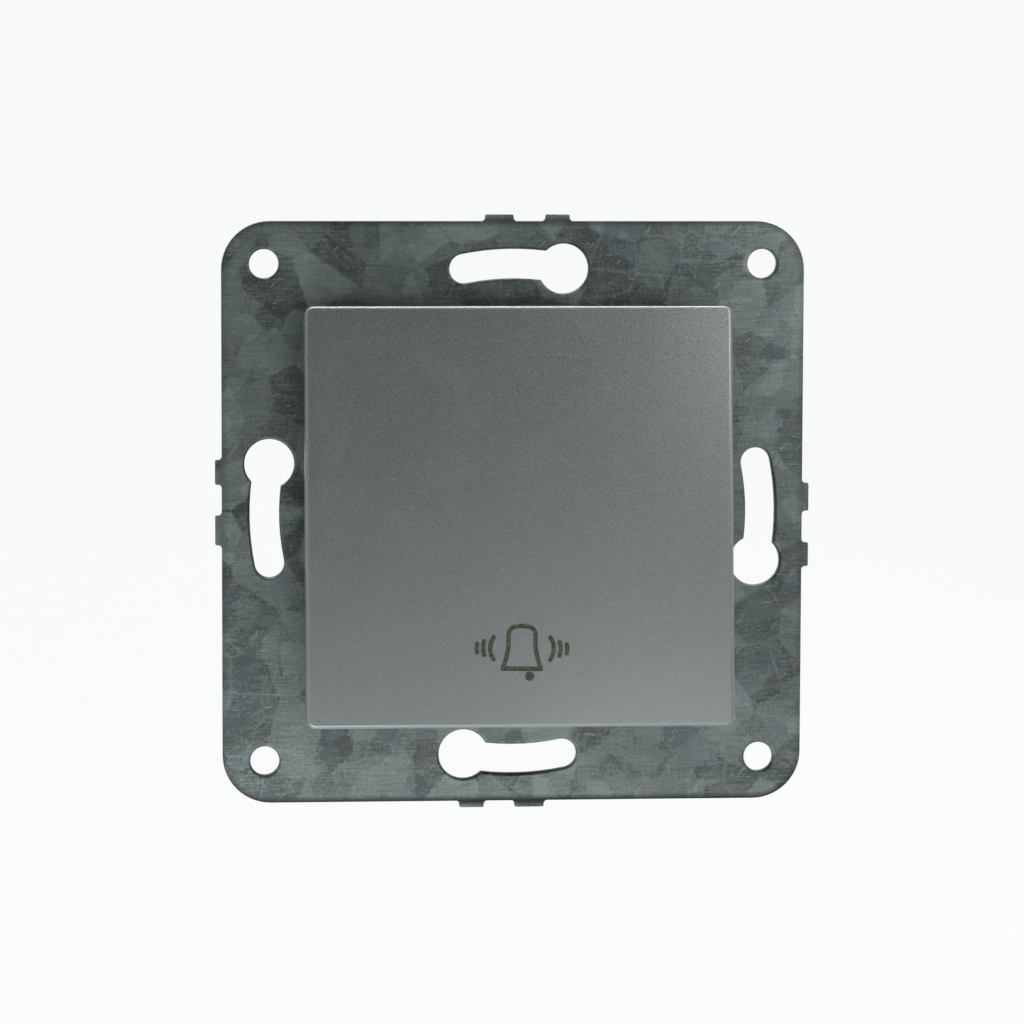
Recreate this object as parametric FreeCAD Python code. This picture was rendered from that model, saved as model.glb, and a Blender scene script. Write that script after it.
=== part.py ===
"""Flush doorbell push button for a 60 mm wall box.

A square steel plate carries a plastic insert. A key in front of the plate tips about a level axis,
and a foot behind it closes one contact. Two screws spread two claws in the wall box.

Millimetres. X points right, Y into the wall and Z up. The origin is the middle of the plate's front.
"""
import FreeCAD, Part
import math
import os
from math import cos, radians, sin

Vector = FreeCAD.Vector

# Mounting plate. The corner holes form a square as wide as the screw circle.
SCREW_CIRCLE = 60.0
PLATE_MARGIN = 5.1
PLATE_THICKNESS = 1.0
PLATE_CORNER_RADIUS = 5.8
CORNER_HOLE_RADIUS = 1.75
SLOT_WIDTH = 3.54
SLOT_ROUND_RADIUS = 3.0
SLOT_HALF_ANGLE = 11.5
APERTURE_CORNER_RADIUS = 1.0
# rounding of the punched edges, at the front of each hole and round the outline
HOLE_ROUNDING = 0.35
OUTLINE_ROUNDING = 0.12

# Interlocking edge tabs, as spans along the edge seen from the front
TAB_HEIGHT = 0.8
TAB_ROOT_RADIUS = 0.45
TAB_TIP_RADIUS = 0.2
UPPER_LONG_TAB = (-3.45, -0.05)
UPPER_SHORT_TAB = (3.8, 6.7)
LOWER_LONG_TAB = (0.25, 3.8)
LOWER_SHORT_TAB = (-6.45, -3.5)

# Key cap, in the place it has when it is pressed home
KEY_WIDTH = 50.8
KEY_HEIGHT = 49.9
KEY_DEPTH = 5.0
KEY_WALL = 1.6
KEY_CORNER_RADIUS = 1.0
KEY_EDGE_RADIUS = 0.45
KEY_RIB_THICKNESS = 1.0
KEY_RIB_DEPTH = 1.8
KEY_RIB_X = 17.5
KEY_CLIP_MARGIN = 2.2
KEY_CLIP_Z = 14.5
KEY_CLIP_WIDTH = 4.0
KEY_CLIP_THICKNESS = 1.2
KEY_CLIP_BARB = 0.5

# Bell symbol, cut into the key's face
SYMBOL_X = 0.02
SYMBOL_DROP = 18.0
SYMBOL_TURN = -1.0
STROKE_WIDTH = 0.53
STROKE_DEPTH = 0.12
BELL_HALF_WIDTH = 1.6
BELL_MOUTH_HALF_WIDTH = 2.27
BELL_HEIGHT = 5.07
BELL_SHOULDER = 4.05
BELL_WAIST = 2.6
BELL_CROWN_HALF_WIDTH = 0.752
BELL_CROWN_RISE = 0.09
# height of the flare's middle, and how far the shoulder bulges sideways and up
BELL_FLARE_HEIGHT = 1.43
BELL_SHOULDER_BULGE = (0.16, 0.17)
CLAPPER_X = 0.94
CLAPPER_DROP = 0.87
CLAPPER_RADIUS = 0.56
ARC_MIDDLE_HEIGHT = 2.4
# distance from the bell's axis, half height and bulge of each sound arc
SOUND_ARCS = ((3.78, 1.31, 0.42), (4.6, 0.8, 0.13), (5.37, 0.52, 0.05))

# Tipping axis of the key and the rocker
PIVOT_HEIGHT = 5.5
FACE_ABOVE_PIVOT = 5.1
REST_TILT = 6.4

# Rocker
ROCKER_HEIGHT = 33.0
ROCKER_THICKNESS = 1.6
CHEEK_THICKNESS = 1.6
CHEEK_RADIUS = 2.3
TRUNNION_RADIUS = 1.5
TRUNNION_SNAP = 0.3
FOOT_WIDTH = 4.0
FOOT_DROP = 9.0
FOOT_RADIUS = 1.2

# Bearing frame
FLANGE_THICKNESS = 1.2
FLANGE_LAP = 1.0
FRAME_WALL_GAP = 0.2
EAR_THICKNESS = 1.8
EAR_RADIUS = 2.5
FOOT_WINDOW_MARGIN = 0.8
STOP_POST_GAP = 2.0
STOP_POST_Z = 14.4
STOP_POST_THICKNESS = 1.6
HOOK_MARGIN = 2.0
HOOK_WIDTH = 3.0
HOOK_THICKNESS = 1.2
HOOK_END_GAP = 2.8
HOOK_NOSE = 1.8

# Return springs, contact spring
SPRING_X = 6.0
SPRING_Z = 11.0
SPRING_RADIUS = 2.3
SPRING_WIRE = 0.5
SPIGOT_HEIGHT = 1.2
SPIGOT_CLEARANCE = 0.45
CONTACT_SPRING_DROP = 6.0
CONTACT_SPRING_RADIUS = 1.6
CONTACT_SPRING_WIRE = 0.35

# Housing
HOUSING_WIDTH = 31.0
HOUSING_HEIGHT = 42.0
HOUSING_DEPTH = 23.0
HOUSING_LAP_X = 2.0
HOUSING_LAP_Z = 3.0
HOUSING_WALL = 1.6
HOUSING_CORNER_RADIUS = 2.0
SIDE_WALL = 1.4
CLAW_RECESS_DEPTH = 2.1
TERMINAL_CHAMBER_DEPTH = 10.6
PARTITION_THICKNESS = 1.6
COVER_THICKNESS = 1.6
COVER_RIM_DEPTH = 1.5
COVER_RIM_THICKNESS = 1.0
NOSE_INSET = 0.25
WIRE_ENTRY_RADIUS = 1.8
GUIDE_RIB_THICKNESS = 1.2
RIB_LEAD = 2.0
SCREWDRIVER_HOLE_RADIUS = 2.2

# Contacts
LEVER_AXIS_LEAD = 4.2
LEVER_AXIS_DROP = 2.0
LEVER_WIDTH = 6.0
LEVER_THICKNESS = 0.8
LEVER_END = 1.6
LEVER_PIN_RADIUS = 0.8
PIN_END = 0.3
LUG_THICKNESS = 0.8
STRIP_THICKNESS = 0.8
STRIP_WIDTH = 6.0
CONTACT_RADIUS = 1.5
CONTACT_MARGIN = 0.5
CONTACT_HEAD = 0.8
CONTACT_SHANK_RADIUS = 0.8
CONTACT_GAP_CLOSED = 0.1

# Terminals
TONGUE_THICKNESS = 1.0
TONGUE_END_GAP = 0.1
CAGE_REAR_GAP = 0.4
CAGE_LENGTH = 6.0
CAGE_WALL = 1.0
CAGE_FLOOR = 1.2
CAGE_THREADED_WALL = 1.4
CAGE_TRAVEL = 3.3
WIRE_SPACE = 4.0
TERMINAL_SCREW_RADIUS = 1.75
TERMINAL_HEAD_RADIUS = 2.9
TERMINAL_HEAD_HEIGHT = 2.0
TERMINAL_HEAD_GAP = 0.1

# Claws with their pins, bridges and screws
CLAW_SCREW_RADIUS = 1.5
CLAW_HEAD_RADIUS = 2.8
CLAW_HEAD_HEIGHT = 2.0
CLAW_LEVER = 5.1
CLAW_PIN_SETBACK = 7.0
CLAW_PIN_RADIUS = 1.0
CLAW_SWING = 22.0
CLAW_WIDTH = 10.0
CLAW_THICKNESS = 1.2
CLAW_FOOT_LENGTH = 8.0
CLAW_TIP_GAP = 2.4
CLAW_TOOTH = 1.3
CLAW_TEETH = 3
CLAW_SLOT_RADIUS = 1.9
BRIDGE_WIDTH = 5.0
BRIDGE_SIDE_GAP = 1.6
BRIDGE_THICKNESS = 3.2
BRIDGE_DOME_RADIUS = 3.5
BRIDGE_CLEARANCE = 0.1
EAR_LUG_THICKNESS = 2.0
EAR_LUG_RADIUS = 2.4
GUIDE_LEAD = 1.1
SCREW_END = 1.0

# Fits
RUNNING_CLEARANCE = 0.05
SLIDE_GAP = 0.3
SIDE_GAP = 0.4
STOP_GAP = 0.15
SNAP_GAP = 0.2
SLOT_DRIVE_WIDTH = 0.8
SLOT_DRIVE_DEPTH = 1.0
# how far fused pieces reach into each other
OVERLAP = 0.5
# coordinates closer than this count as the same
SAME_PLACE = 1e-5

# Levels that several pieces share
plate_side = SCREW_CIRCLE + 2 * PLATE_MARGIN
plate_back = PLATE_THICKNESS
aperture_width = HOUSING_WIDTH - 2 * HOUSING_LAP_X
aperture_height = HOUSING_HEIGHT - 2 * HOUSING_LAP_Z
pivot_y = -PIVOT_HEIGHT
flange_front = -FLANGE_THICKNESS
housing_back = plate_back + HOUSING_DEPTH
cover_front = housing_back - COVER_THICKNESS
rim_front = cover_front - COVER_RIM_DEPTH
partition_back = cover_front - TERMINAL_CHAMBER_DEPTH
partition_front = partition_back - PARTITION_THICKNESS
terminal_y = rim_front - CAGE_REAR_GAP - CAGE_LENGTH / 2
cavity_half_height = HOUSING_HEIGHT / 2 - HOUSING_WALL
recess_x = HOUSING_WIDTH / 2 - CLAW_RECESS_DEPTH
cavity_half_width = recess_x - SIDE_WALL
neck_half_width = aperture_width / 2 - FRAME_WALL_GAP
neck_half_height = aperture_height / 2 - FRAME_WALL_GAP
key_inner_y = pivot_y - FACE_ABOVE_PIVOT + KEY_WALL
rocker_back_y = key_inner_y + ROCKER_THICKNESS
ear_outer = neck_half_width
ear_inner = ear_outer - EAR_THICKNESS
cheek_outer = ear_inner - SLIDE_GAP
key_clip_x = cheek_outer - KEY_CLIP_MARGIN - KEY_CLIP_WIDTH / 2
hook_x = cavity_half_width - HOOK_MARGIN - HOOK_WIDTH / 2
hook_tip = partition_front - HOOK_END_GAP
lever_axis_y = partition_front - LEVER_AXIS_LEAD
lever_front_y = lever_axis_y - LEVER_THICKNESS / 2
lever_back_y = lever_axis_y + LEVER_THICKNESS / 2
strip_front_y = partition_front - STRIP_THICKNESS
tongue_end_y = terminal_y + CAGE_LENGTH / 2 - TONGUE_END_GAP
terminal_head_z = cavity_half_height - TERMINAL_HEAD_GAP - TERMINAL_HEAD_HEIGHT
cage_open_top = terminal_head_z - SLIDE_GAP - CAGE_TRAVEL
cage_ceiling = cage_open_top - CAGE_THREADED_WALL
tongue_outer_z = cage_ceiling - SLIDE_GAP
tongue_z = tongue_outer_z - TONGUE_THICKNESS
lever_axis_z = tongue_z - LEVER_AXIS_DROP
contact_drop = tongue_outer_z + CONTACT_RADIUS + CONTACT_MARGIN
claw_screw_x = recess_x + BRIDGE_SIDE_GAP + BRIDGE_WIDTH / 2
claw_pin_x = claw_screw_x + CLAW_LEVER
claw_pin_y = housing_back - CLAW_PIN_SETBACK
claw_tip_y = plate_back + CLAW_TIP_GAP
cage_half_width = STRIP_WIDTH / 2 + SIDE_GAP + CAGE_WALL
guide_inner = cage_half_width + SLIDE_GAP
hook_outer_z = neck_half_height
claw_lug_inner = CLAW_WIDTH / 2 + SIDE_GAP
claw_lug_outer = claw_lug_inner + EAR_LUG_THICKNESS


def block(x0, x1, y0, y1, z0, z1):
    """Box between two corners."""
    return Part.makeBox(x1 - x0, y1 - y0, z1 - z0, Vector(x0, y0, z0))


def rod_x(radius, x0, x1, y, z):
    """Cylinder along X."""
    return Part.makeCylinder(radius, x1 - x0, Vector(x0, y, z), Vector(1, 0, 0))


def rod_y(radius, y0, y1, x, z):
    """Cylinder along Y."""
    return Part.makeCylinder(radius, y1 - y0, Vector(x, y0, z), Vector(0, 1, 0))


def rod_z(radius, z0, z1, x, y):
    """Cylinder along Z."""
    return Part.makeCylinder(radius, z1 - z0, Vector(x, y, z0), Vector(0, 0, 1))


def cut_all(shape, tools):
    """The shape less each tool."""
    for tool in tools:
        shape = shape.cut(tool)
    return shape


def fuse_all(shapes):
    """One shape from several, without the seams between them."""
    whole = shapes[0]
    for shape in shapes[1:]:
        whole = whole.fuse(shape)
    return whole.removeSplitter()


def turned(shape, degrees, centre, axis):
    """A copy of the shape, turned about an axis."""
    copy = shape.copy()
    copy.rotate(centre, axis, degrees)
    return copy


def flipped(shape, normal):
    """The mirror image of the shape in a plane through the origin."""
    return shape.mirror(Vector(0, 0, 0), normal)


def upright(shape):
    """Stands a shape drawn in XY up in XZ, with its +Z side to the front."""
    return turned(shape, 90, Vector(0, 0, 0), Vector(1, 0, 0))


def at_rest(shape):
    """Tips a shape of the key from its pressed place to its rest."""
    return turned(shape, -REST_TILT, Vector(0, pivot_y, 0), Vector(1, 0, 0))


def edges_along(shape, axis, points, index):
    """The straight edges along an axis that pass through the given points.

    index names the two coordinates that the points give.
    """
    found = []
    for edge in shape.Edges:
        if not isinstance(edge.Curve, Part.Line):
            continue
        if abs(edge.Curve.Direction.dot(axis)) < 0.999:
            continue
        place = edge.Vertexes[0].Point
        for point in points:
            if math.hypot(place[index[0]] - point[0], place[index[1]] - point[1]) < SAME_PLACE:
                found.append(edge)
    return found


def rounded_block(x, y0, y1, z, radius):
    """Box centred on the Y axis, of half width x and half height z, with its four long edges round."""
    box = block(-x, x, y0, y1, -z, z)
    corners = [(a, b) for a in (-x, x) for b in (-z, z)]
    return box.makeFillet(radius, edges_along(box, Vector(0, 1, 0), corners, (0, 2)))


def in_four_quarters(shape):
    """The shape at four places, a quarter turn apart about the front's normal."""
    return [turned(shape, 90 * n, Vector(0, 0, 0), Vector(0, 0, 1)) for n in range(4)]


def keyhole_slot():
    """Cutter of the upper slot: an arc about the plate's middle with a round at its right end."""
    half_width = SLOT_WIDTH / 2
    depth = PLATE_THICKNESS + 2
    start = Vector(0, 0, -PLATE_THICKNESS - 1)
    up = Vector(0, 0, 1)
    outer = Part.makeCylinder(SCREW_CIRCLE / 2 + half_width, depth, start, up, 2 * SLOT_HALF_ANGLE)
    inner = Part.makeCylinder(SCREW_CIRCLE / 2 - half_width, depth, start, up, 2 * SLOT_HALF_ANGLE)
    band = turned(outer.cut(inner), 90 - SLOT_HALF_ANGLE, Vector(0, 0, 0), up)
    ends = []
    for side, radius in ((-1, half_width), (1, SLOT_ROUND_RADIUS)):
        angle = radians(90 - side * SLOT_HALF_ANGLE)
        centre = start + Vector(cos(angle), sin(angle), 0) * (SCREW_CIRCLE / 2)
        ends.append(Part.makeCylinder(radius, depth, centre, up))
    return fuse_all([band] + ends)


def edge_tabs(long_span, short_span):
    """Two tabs on the upper edge of the plate, with rounded roots and tips, as drawn in XY."""
    edge = plate_side / 2
    tabs = []
    for low, high in (long_span, short_span):
        foot = block(low - TAB_ROOT_RADIUS, high + TAB_ROOT_RADIUS, edge - 1, edge + TAB_ROOT_RADIUS,
                     -PLATE_THICKNESS, 0)
        for x in (low - TAB_ROOT_RADIUS, high + TAB_ROOT_RADIUS):
            foot = foot.cut(rod_z(TAB_ROOT_RADIUS, -PLATE_THICKNESS, 0, x, edge + TAB_ROOT_RADIUS))
        tab = block(low, high, edge - 1, edge + TAB_HEIGHT, -PLATE_THICKNESS, 0)
        tips = [(low, edge + TAB_HEIGHT), (high, edge + TAB_HEIGHT)]
        tab = tab.makeFillet(TAB_TIP_RADIUS, edges_along(tab, Vector(0, 0, 1), tips, (0, 1)))
        tabs += [foot, tab]
    return tabs


def mounting_plate():
    """The steel plate with its tabs, slots, holes and aperture."""
    half = plate_side / 2
    plate = block(-half, half, -half, half, -PLATE_THICKNESS, 0)
    corners = [(x, y) for x in (-half, half) for y in (-half, half)]
    plate = plate.makeFillet(PLATE_CORNER_RADIUS, edges_along(plate, Vector(0, 0, 1), corners, (0, 1)))
    upper = edge_tabs(UPPER_LONG_TAB, UPPER_SHORT_TAB)
    lower = [turned(tab, 180, Vector(0, 0, 0), Vector(0, 0, 1)) for tab in edge_tabs(
        (-LOWER_LONG_TAB[1], -LOWER_LONG_TAB[0]), (-LOWER_SHORT_TAB[1], -LOWER_SHORT_TAB[0]))]
    tabs = upper + lower
    tabs += [turned(tab, -90, Vector(0, 0, 0), Vector(0, 0, 1)) for tab in tabs]
    plate = fuse_all([plate] + tabs)

    cutters = in_four_quarters(keyhole_slot())
    low, high = -PLATE_THICKNESS - 1, 1
    offset = SCREW_CIRCLE / 2
    for x in (-offset, offset):
        for y in (-offset, offset):
            cutters.append(rod_z(CORNER_HOLE_RADIUS, low, high, x, y))
    for x in (-claw_screw_x, claw_screw_x):
        cutters.append(rod_z(CLAW_SCREW_RADIUS + RUNNING_CLEARANCE, low, high, x, 0))
    width, height = aperture_width / 2, aperture_height / 2
    aperture = block(-width, width, -height, height, low, high)
    corners = [(x, y) for x in (-width, width) for y in (-height, height)]
    cutters.append(aperture.makeFillet(
        APERTURE_CORNER_RADIUS, edges_along(aperture, Vector(0, 0, 1), corners, (0, 1))))
    return upright(punched_edges(cut_all(plate, cutters)))


def punched_edges(plate):
    """The plate with its outline, its slots and its corner holes rounded at the front."""
    front = max(plate.Faces, key=lambda face: face.Area if face.BoundBox.ZMin > -SAME_PLACE else 0)
    holes, outline = [], []
    for wire in front.Wires:
        middle = wire.BoundBox.Center
        if wire.BoundBox.XLength > plate_side - SAME_PLACE:
            outline += wire.Edges
        elif math.hypot(middle.x, middle.y) > SCREW_CIRCLE / 2 - SLOT_ROUND_RADIUS:
            holes += wire.Edges
    return plate.makeFillet(HOLE_ROUNDING, holes).makeFillet(OUTLINE_ROUNDING, outline)


def arc_edge(start, through, end):
    """Edge along the arc through three points of the symbol."""
    return Part.Arc(Vector(*start), Vector(*through), Vector(*end)).toShape()


def bell_outline():
    """Closed middle line of the bell: mouth, flared sides, shoulders and a nearly flat crown."""
    mouth, side = BELL_MOUTH_HALF_WIDTH, BELL_HALF_WIDTH
    crown = BELL_CROWN_HALF_WIDTH
    crown_z = BELL_HEIGHT - BELL_CROWN_RISE
    flare = (mouth + 2 * side) / 3, BELL_FLARE_HEIGHT
    bulge = BELL_SHOULDER_BULGE
    shoulder = (side + crown) / 2 + bulge[0], (BELL_SHOULDER + crown_z) / 2 + bulge[1]
    edges = [Part.makeLine(Vector(-mouth, 0), Vector(mouth, 0))]
    edges.append(arc_edge((mouth, 0), flare, (side, BELL_WAIST)))
    edges.append(Part.makeLine(Vector(side, BELL_WAIST), Vector(side, BELL_SHOULDER)))
    edges.append(arc_edge((side, BELL_SHOULDER), shoulder, (crown, crown_z)))
    edges.append(arc_edge((crown, crown_z), (0, BELL_HEIGHT), (-crown, crown_z)))
    edges.append(arc_edge((-crown, crown_z), (-shoulder[0], shoulder[1]), (-side, BELL_SHOULDER)))
    edges.append(Part.makeLine(Vector(-side, BELL_SHOULDER), Vector(-side, BELL_WAIST)))
    edges.append(arc_edge((-side, BELL_WAIST), (-flare[0], flare[1]), (-mouth, 0)))
    return Part.Wire(edges)


def symbol_cutter():
    """The strokes of the bell symbol as one cutter, standing in the face of the pressed key."""
    half = STROKE_WIDTH / 2
    outline = bell_outline()
    outer = Part.Face(outline.makeOffset2D(half))
    faces = [outer.cut(Part.Face(outline.makeOffset2D(-half)))]
    faces.append(Part.Face(Part.Wire(Part.makeCircle(
        CLAPPER_RADIUS, Vector(CLAPPER_X, -CLAPPER_DROP, 0)))))
    for distance, reach, bulge in SOUND_ARCS:
        for side in (-1, 1):
            end_x = side * (distance - bulge)
            arc = arc_edge((end_x, ARC_MIDDLE_HEIGHT - reach), (side * distance, ARC_MIDDLE_HEIGHT),
                           (end_x, ARC_MIDDLE_HEIGHT + reach))
            faces.append(Part.Face(Part.Wire([arc]).makeOffset2D(half, 0, False, False, False)))
    strokes = fuse_all([face.extrude(Vector(0, 0, STROKE_DEPTH + 1)) for face in faces])
    strokes.translate(Vector(0, 0, -STROKE_DEPTH))
    strokes = turned(strokes, SYMBOL_TURN, Vector(0, 0, 0), Vector(0, 0, 1))
    strokes = upright(strokes)
    strokes.translate(Vector(SYMBOL_X, pivot_y - FACE_ABOVE_PIVOT, -SYMBOL_DROP))
    return strokes


def key_clip(x_side, z_side):
    """Snap arm of the key that passes through the rocker and hooks behind it."""
    x0 = x_side * key_clip_x - KEY_CLIP_WIDTH / 2
    x1 = x0 + KEY_CLIP_WIDTH
    inner, outer = KEY_CLIP_Z - KEY_CLIP_THICKNESS / 2, KEY_CLIP_Z + KEY_CLIP_THICKNESS / 2
    tip = rocker_back_y + 2 * KEY_CLIP_BARB
    arm = block(x0, x1, key_inner_y - KEY_WALL / 2, tip, inner, outer)
    barb = Part.Face(Part.makePolygon([
        Vector(x0, rocker_back_y, outer), Vector(x0, rocker_back_y, outer + KEY_CLIP_BARB),
        Vector(x0, tip, outer), Vector(x0, rocker_back_y, outer)])).extrude(Vector(x1 - x0, 0, 0))
    clip = arm.fuse(barb)
    return clip if z_side > 0 else flipped(clip, Vector(0, 0, 1))


def key_cap():
    """The hollow key with rounded edges, ribs, clips and the engraved symbol, at rest."""
    x, z = KEY_WIDTH / 2, KEY_HEIGHT / 2
    face = pivot_y - FACE_ABOVE_PIVOT
    cap = rounded_block(x, face, face + KEY_DEPTH, z, KEY_CORNER_RADIUS)
    rim = [edge for edge in cap.Edges if abs(edge.BoundBox.YMax - face) < SAME_PLACE]
    cap = cap.makeFillet(KEY_EDGE_RADIUS, rim)
    cap = cap.cut(block(-x + KEY_WALL, x - KEY_WALL, key_inner_y, face + KEY_DEPTH + 1,
                        -z + KEY_WALL, z - KEY_WALL))
    rib_end = key_inner_y + KEY_RIB_DEPTH
    ribs = []
    for side in (-1, 1):
        rib_x = side * KEY_RIB_X
        ribs.append(block(rib_x - KEY_RIB_THICKNESS / 2, rib_x + KEY_RIB_THICKNESS / 2,
                          key_inner_y - KEY_WALL / 2, rib_end, -z + KEY_WALL / 2, z - KEY_WALL / 2))
    clips = [key_clip(a, b) for a in (-1, 1) for b in (-1, 1)]
    return at_rest(fuse_all([cap] + ribs + clips).cut(symbol_cutter()))


def foot_centre():
    """Where the centre of the foot's round tip lies when the key is pressed, as (y, z).

    At rest the tip stays the stop gap in front of the contact arm.
    """
    rest_y = lever_front_y - STOP_GAP - FOOT_RADIUS - pivot_y
    tilt = radians(REST_TILT)
    return pivot_y + (rest_y + FOOT_DROP * sin(tilt)) / cos(tilt), -FOOT_DROP


def rocker():
    """Carrier of the key with its trunnions and the foot that moves the contact arm, at rest."""
    x, z = cheek_outer, ROCKER_HEIGHT / 2
    pieces = [block(-x, x, key_inner_y, rocker_back_y, -z, z)]
    for side in (-1, 1):
        inner, outer = sorted((side * (cheek_outer - CHEEK_THICKNESS), side * cheek_outer))
        pieces.append(block(inner, outer, rocker_back_y - OVERLAP, pivot_y, -CHEEK_RADIUS, CHEEK_RADIUS))
        pieces.append(rod_x(CHEEK_RADIUS, inner, outer, pivot_y, 0))
        ends = sorted((side * (cheek_outer - CHEEK_THICKNESS), side * (ear_outer - RUNNING_CLEARANCE)))
        pieces.append(rod_x(TRUNNION_RADIUS, ends[0], ends[1], pivot_y, 0))
        pieces.append(rod_y(SPRING_RADIUS - SPRING_WIRE - SPIGOT_CLEARANCE, rocker_back_y - OVERLAP,
                            rocker_back_y + SPIGOT_HEIGHT, side * SPRING_X, -SPRING_Z))
    foot_y, foot_z = foot_centre()
    foot_x = FOOT_WIDTH / 2
    pieces.append(block(-foot_x, foot_x, rocker_back_y - OVERLAP, foot_y,
                        foot_z - FOOT_RADIUS, foot_z + FOOT_RADIUS))
    pieces.append(rod_x(FOOT_RADIUS, -foot_x, foot_x, foot_y, foot_z))
    slots = []
    for a in (-1, 1):
        for b in (-1, 1):
            cx, cz = a * key_clip_x, b * KEY_CLIP_Z
            wide, thick = KEY_CLIP_WIDTH / 2 + SNAP_GAP, KEY_CLIP_THICKNESS / 2
            slots.append(block(cx - wide, cx + wide, key_inner_y - 1, rocker_back_y + 1,
                               cz - thick - SNAP_GAP, cz + thick + RUNNING_CLEARANCE))
    return at_rest(cut_all(fuse_all(pieces), slots))


def frame_hook(x_side, z_side):
    """Arm of the bearing frame that snaps into a window of the housing."""
    x0 = x_side * hook_x - HOOK_WIDTH / 2
    x1 = x0 + HOOK_WIDTH
    tip = hook_tip
    arm = block(x0, x1, plate_back - OVERLAP, tip, hook_outer_z - HOOK_THICKNESS, hook_outer_z)
    nose_z = cavity_half_height + HOUSING_WALL / 2
    nose = Part.Face(Part.makePolygon([
        Vector(x0, tip - HOOK_NOSE, hook_outer_z), Vector(x0, tip - HOOK_NOSE, nose_z),
        Vector(x0, tip, hook_outer_z), Vector(x0, tip - HOOK_NOSE, hook_outer_z)]))
    hook = arm.fuse(nose.extrude(Vector(x1 - x0, 0, 0)))
    return hook if z_side > 0 else flipped(hook, Vector(0, 0, 1))


def stop_top(z_edge, tilt):
    """Level of a stop post whose outer edge stays the stop gap behind the rocker's back."""
    back = rocker_back_y - pivot_y
    return pivot_y + (back + z_edge * sin(radians(tilt))) / cos(radians(tilt)) + STOP_GAP


def bearing_frame():
    """Frame in the aperture with the rocker's ears, its stops, spring seats and snap hooks."""
    lap_x, lap_z = aperture_width / 2 + FLANGE_LAP, aperture_height / 2 + FLANGE_LAP
    pieces = [
        rounded_block(neck_half_width, 0, plate_back, neck_half_height, APERTURE_CORNER_RADIUS),
        rounded_block(lap_x, flange_front, 0, lap_z, APERTURE_CORNER_RADIUS),
    ]
    for side in (-1, 1):
        inner, outer = sorted((side * ear_inner, side * ear_outer))
        pieces.append(block(inner, outer, pivot_y, 0, -EAR_RADIUS, EAR_RADIUS))
        pieces.append(rod_x(EAR_RADIUS, inner, outer, pivot_y, 0))
        pieces.append(rod_y(SPRING_RADIUS - SPRING_WIRE - RUNNING_CLEARANCE,
                            flange_front - SPIGOT_HEIGHT, 0, side * SPRING_X, -SPRING_Z))
        pieces += [frame_hook(side, end) for end in (-1, 1)]
    half_post = key_clip_x - KEY_CLIP_WIDTH / 2 - STOP_POST_GAP
    low, high = STOP_POST_Z - STOP_POST_THICKNESS / 2, STOP_POST_Z + STOP_POST_THICKNESS / 2
    pieces.append(block(-half_post, half_post, stop_top(high, REST_TILT), 0, low, high))
    pieces.append(block(-half_post, half_post, stop_top(high, 0), 0, -high, -low))
    frame = fuse_all(pieces)

    foot_y, foot_z = foot_centre()
    swing = (foot_y - pivot_y) * sin(radians(REST_TILT))
    margin = FOOT_WINDOW_MARGIN
    window_x = FOOT_WIDTH / 2 + margin
    cutters = [block(-window_x, window_x, flange_front - 1, plate_back + 1,
                     foot_z - FOOT_RADIUS - swing - margin / 2, foot_z + FOOT_RADIUS + margin)]
    bore = TRUNNION_RADIUS + RUNNING_CLEARANCE
    mouth = TRUNNION_RADIUS - TRUNNION_SNAP
    for side in (-1, 1):
        inner, outer = sorted((side * (ear_inner - 1), side * (ear_outer + 1)))
        cutters.append(rod_x(bore, inner, outer, pivot_y, 0))
        cutters.append(block(inner, outer, pivot_y - EAR_RADIUS - 1, pivot_y, -mouth, mouth))
    return cut_all(frame, cutters)


def return_spring(side):
    """Outer form of one coil spring between the frame and the rocker, at rest."""
    tilt = radians(REST_TILT)
    back = rocker_back_y - pivot_y
    inner_z = SPRING_Z - SPRING_RADIUS
    front = pivot_y + (back - inner_z * sin(tilt)) / cos(tilt) + RUNNING_CLEARANCE
    coil = rod_y(SPRING_RADIUS, front, flange_front, side * SPRING_X, -SPRING_Z)
    return coil.cut(rod_y(SPRING_RADIUS - SPRING_WIRE, front - 1, 0, side * SPRING_X, -SPRING_Z))


def claw_lug():
    """One of the two lugs that hold a claw's pin and guide its bridge, on the right and above."""
    front = claw_pin_y - EAR_LUG_RADIUS
    guide_x = claw_screw_x + BRIDGE_WIDTH / 2 + SIDE_GAP
    low, high = claw_lug_inner, claw_lug_outer
    return fuse_all([
        block(recess_x, guide_x, front - GUIDE_LEAD, housing_back, low, high),
        block(recess_x, claw_pin_x, front, claw_pin_y + EAR_LUG_RADIUS, low, high),
        rod_z(EAR_LUG_RADIUS, low, high, claw_pin_x, claw_pin_y),
    ])


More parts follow.
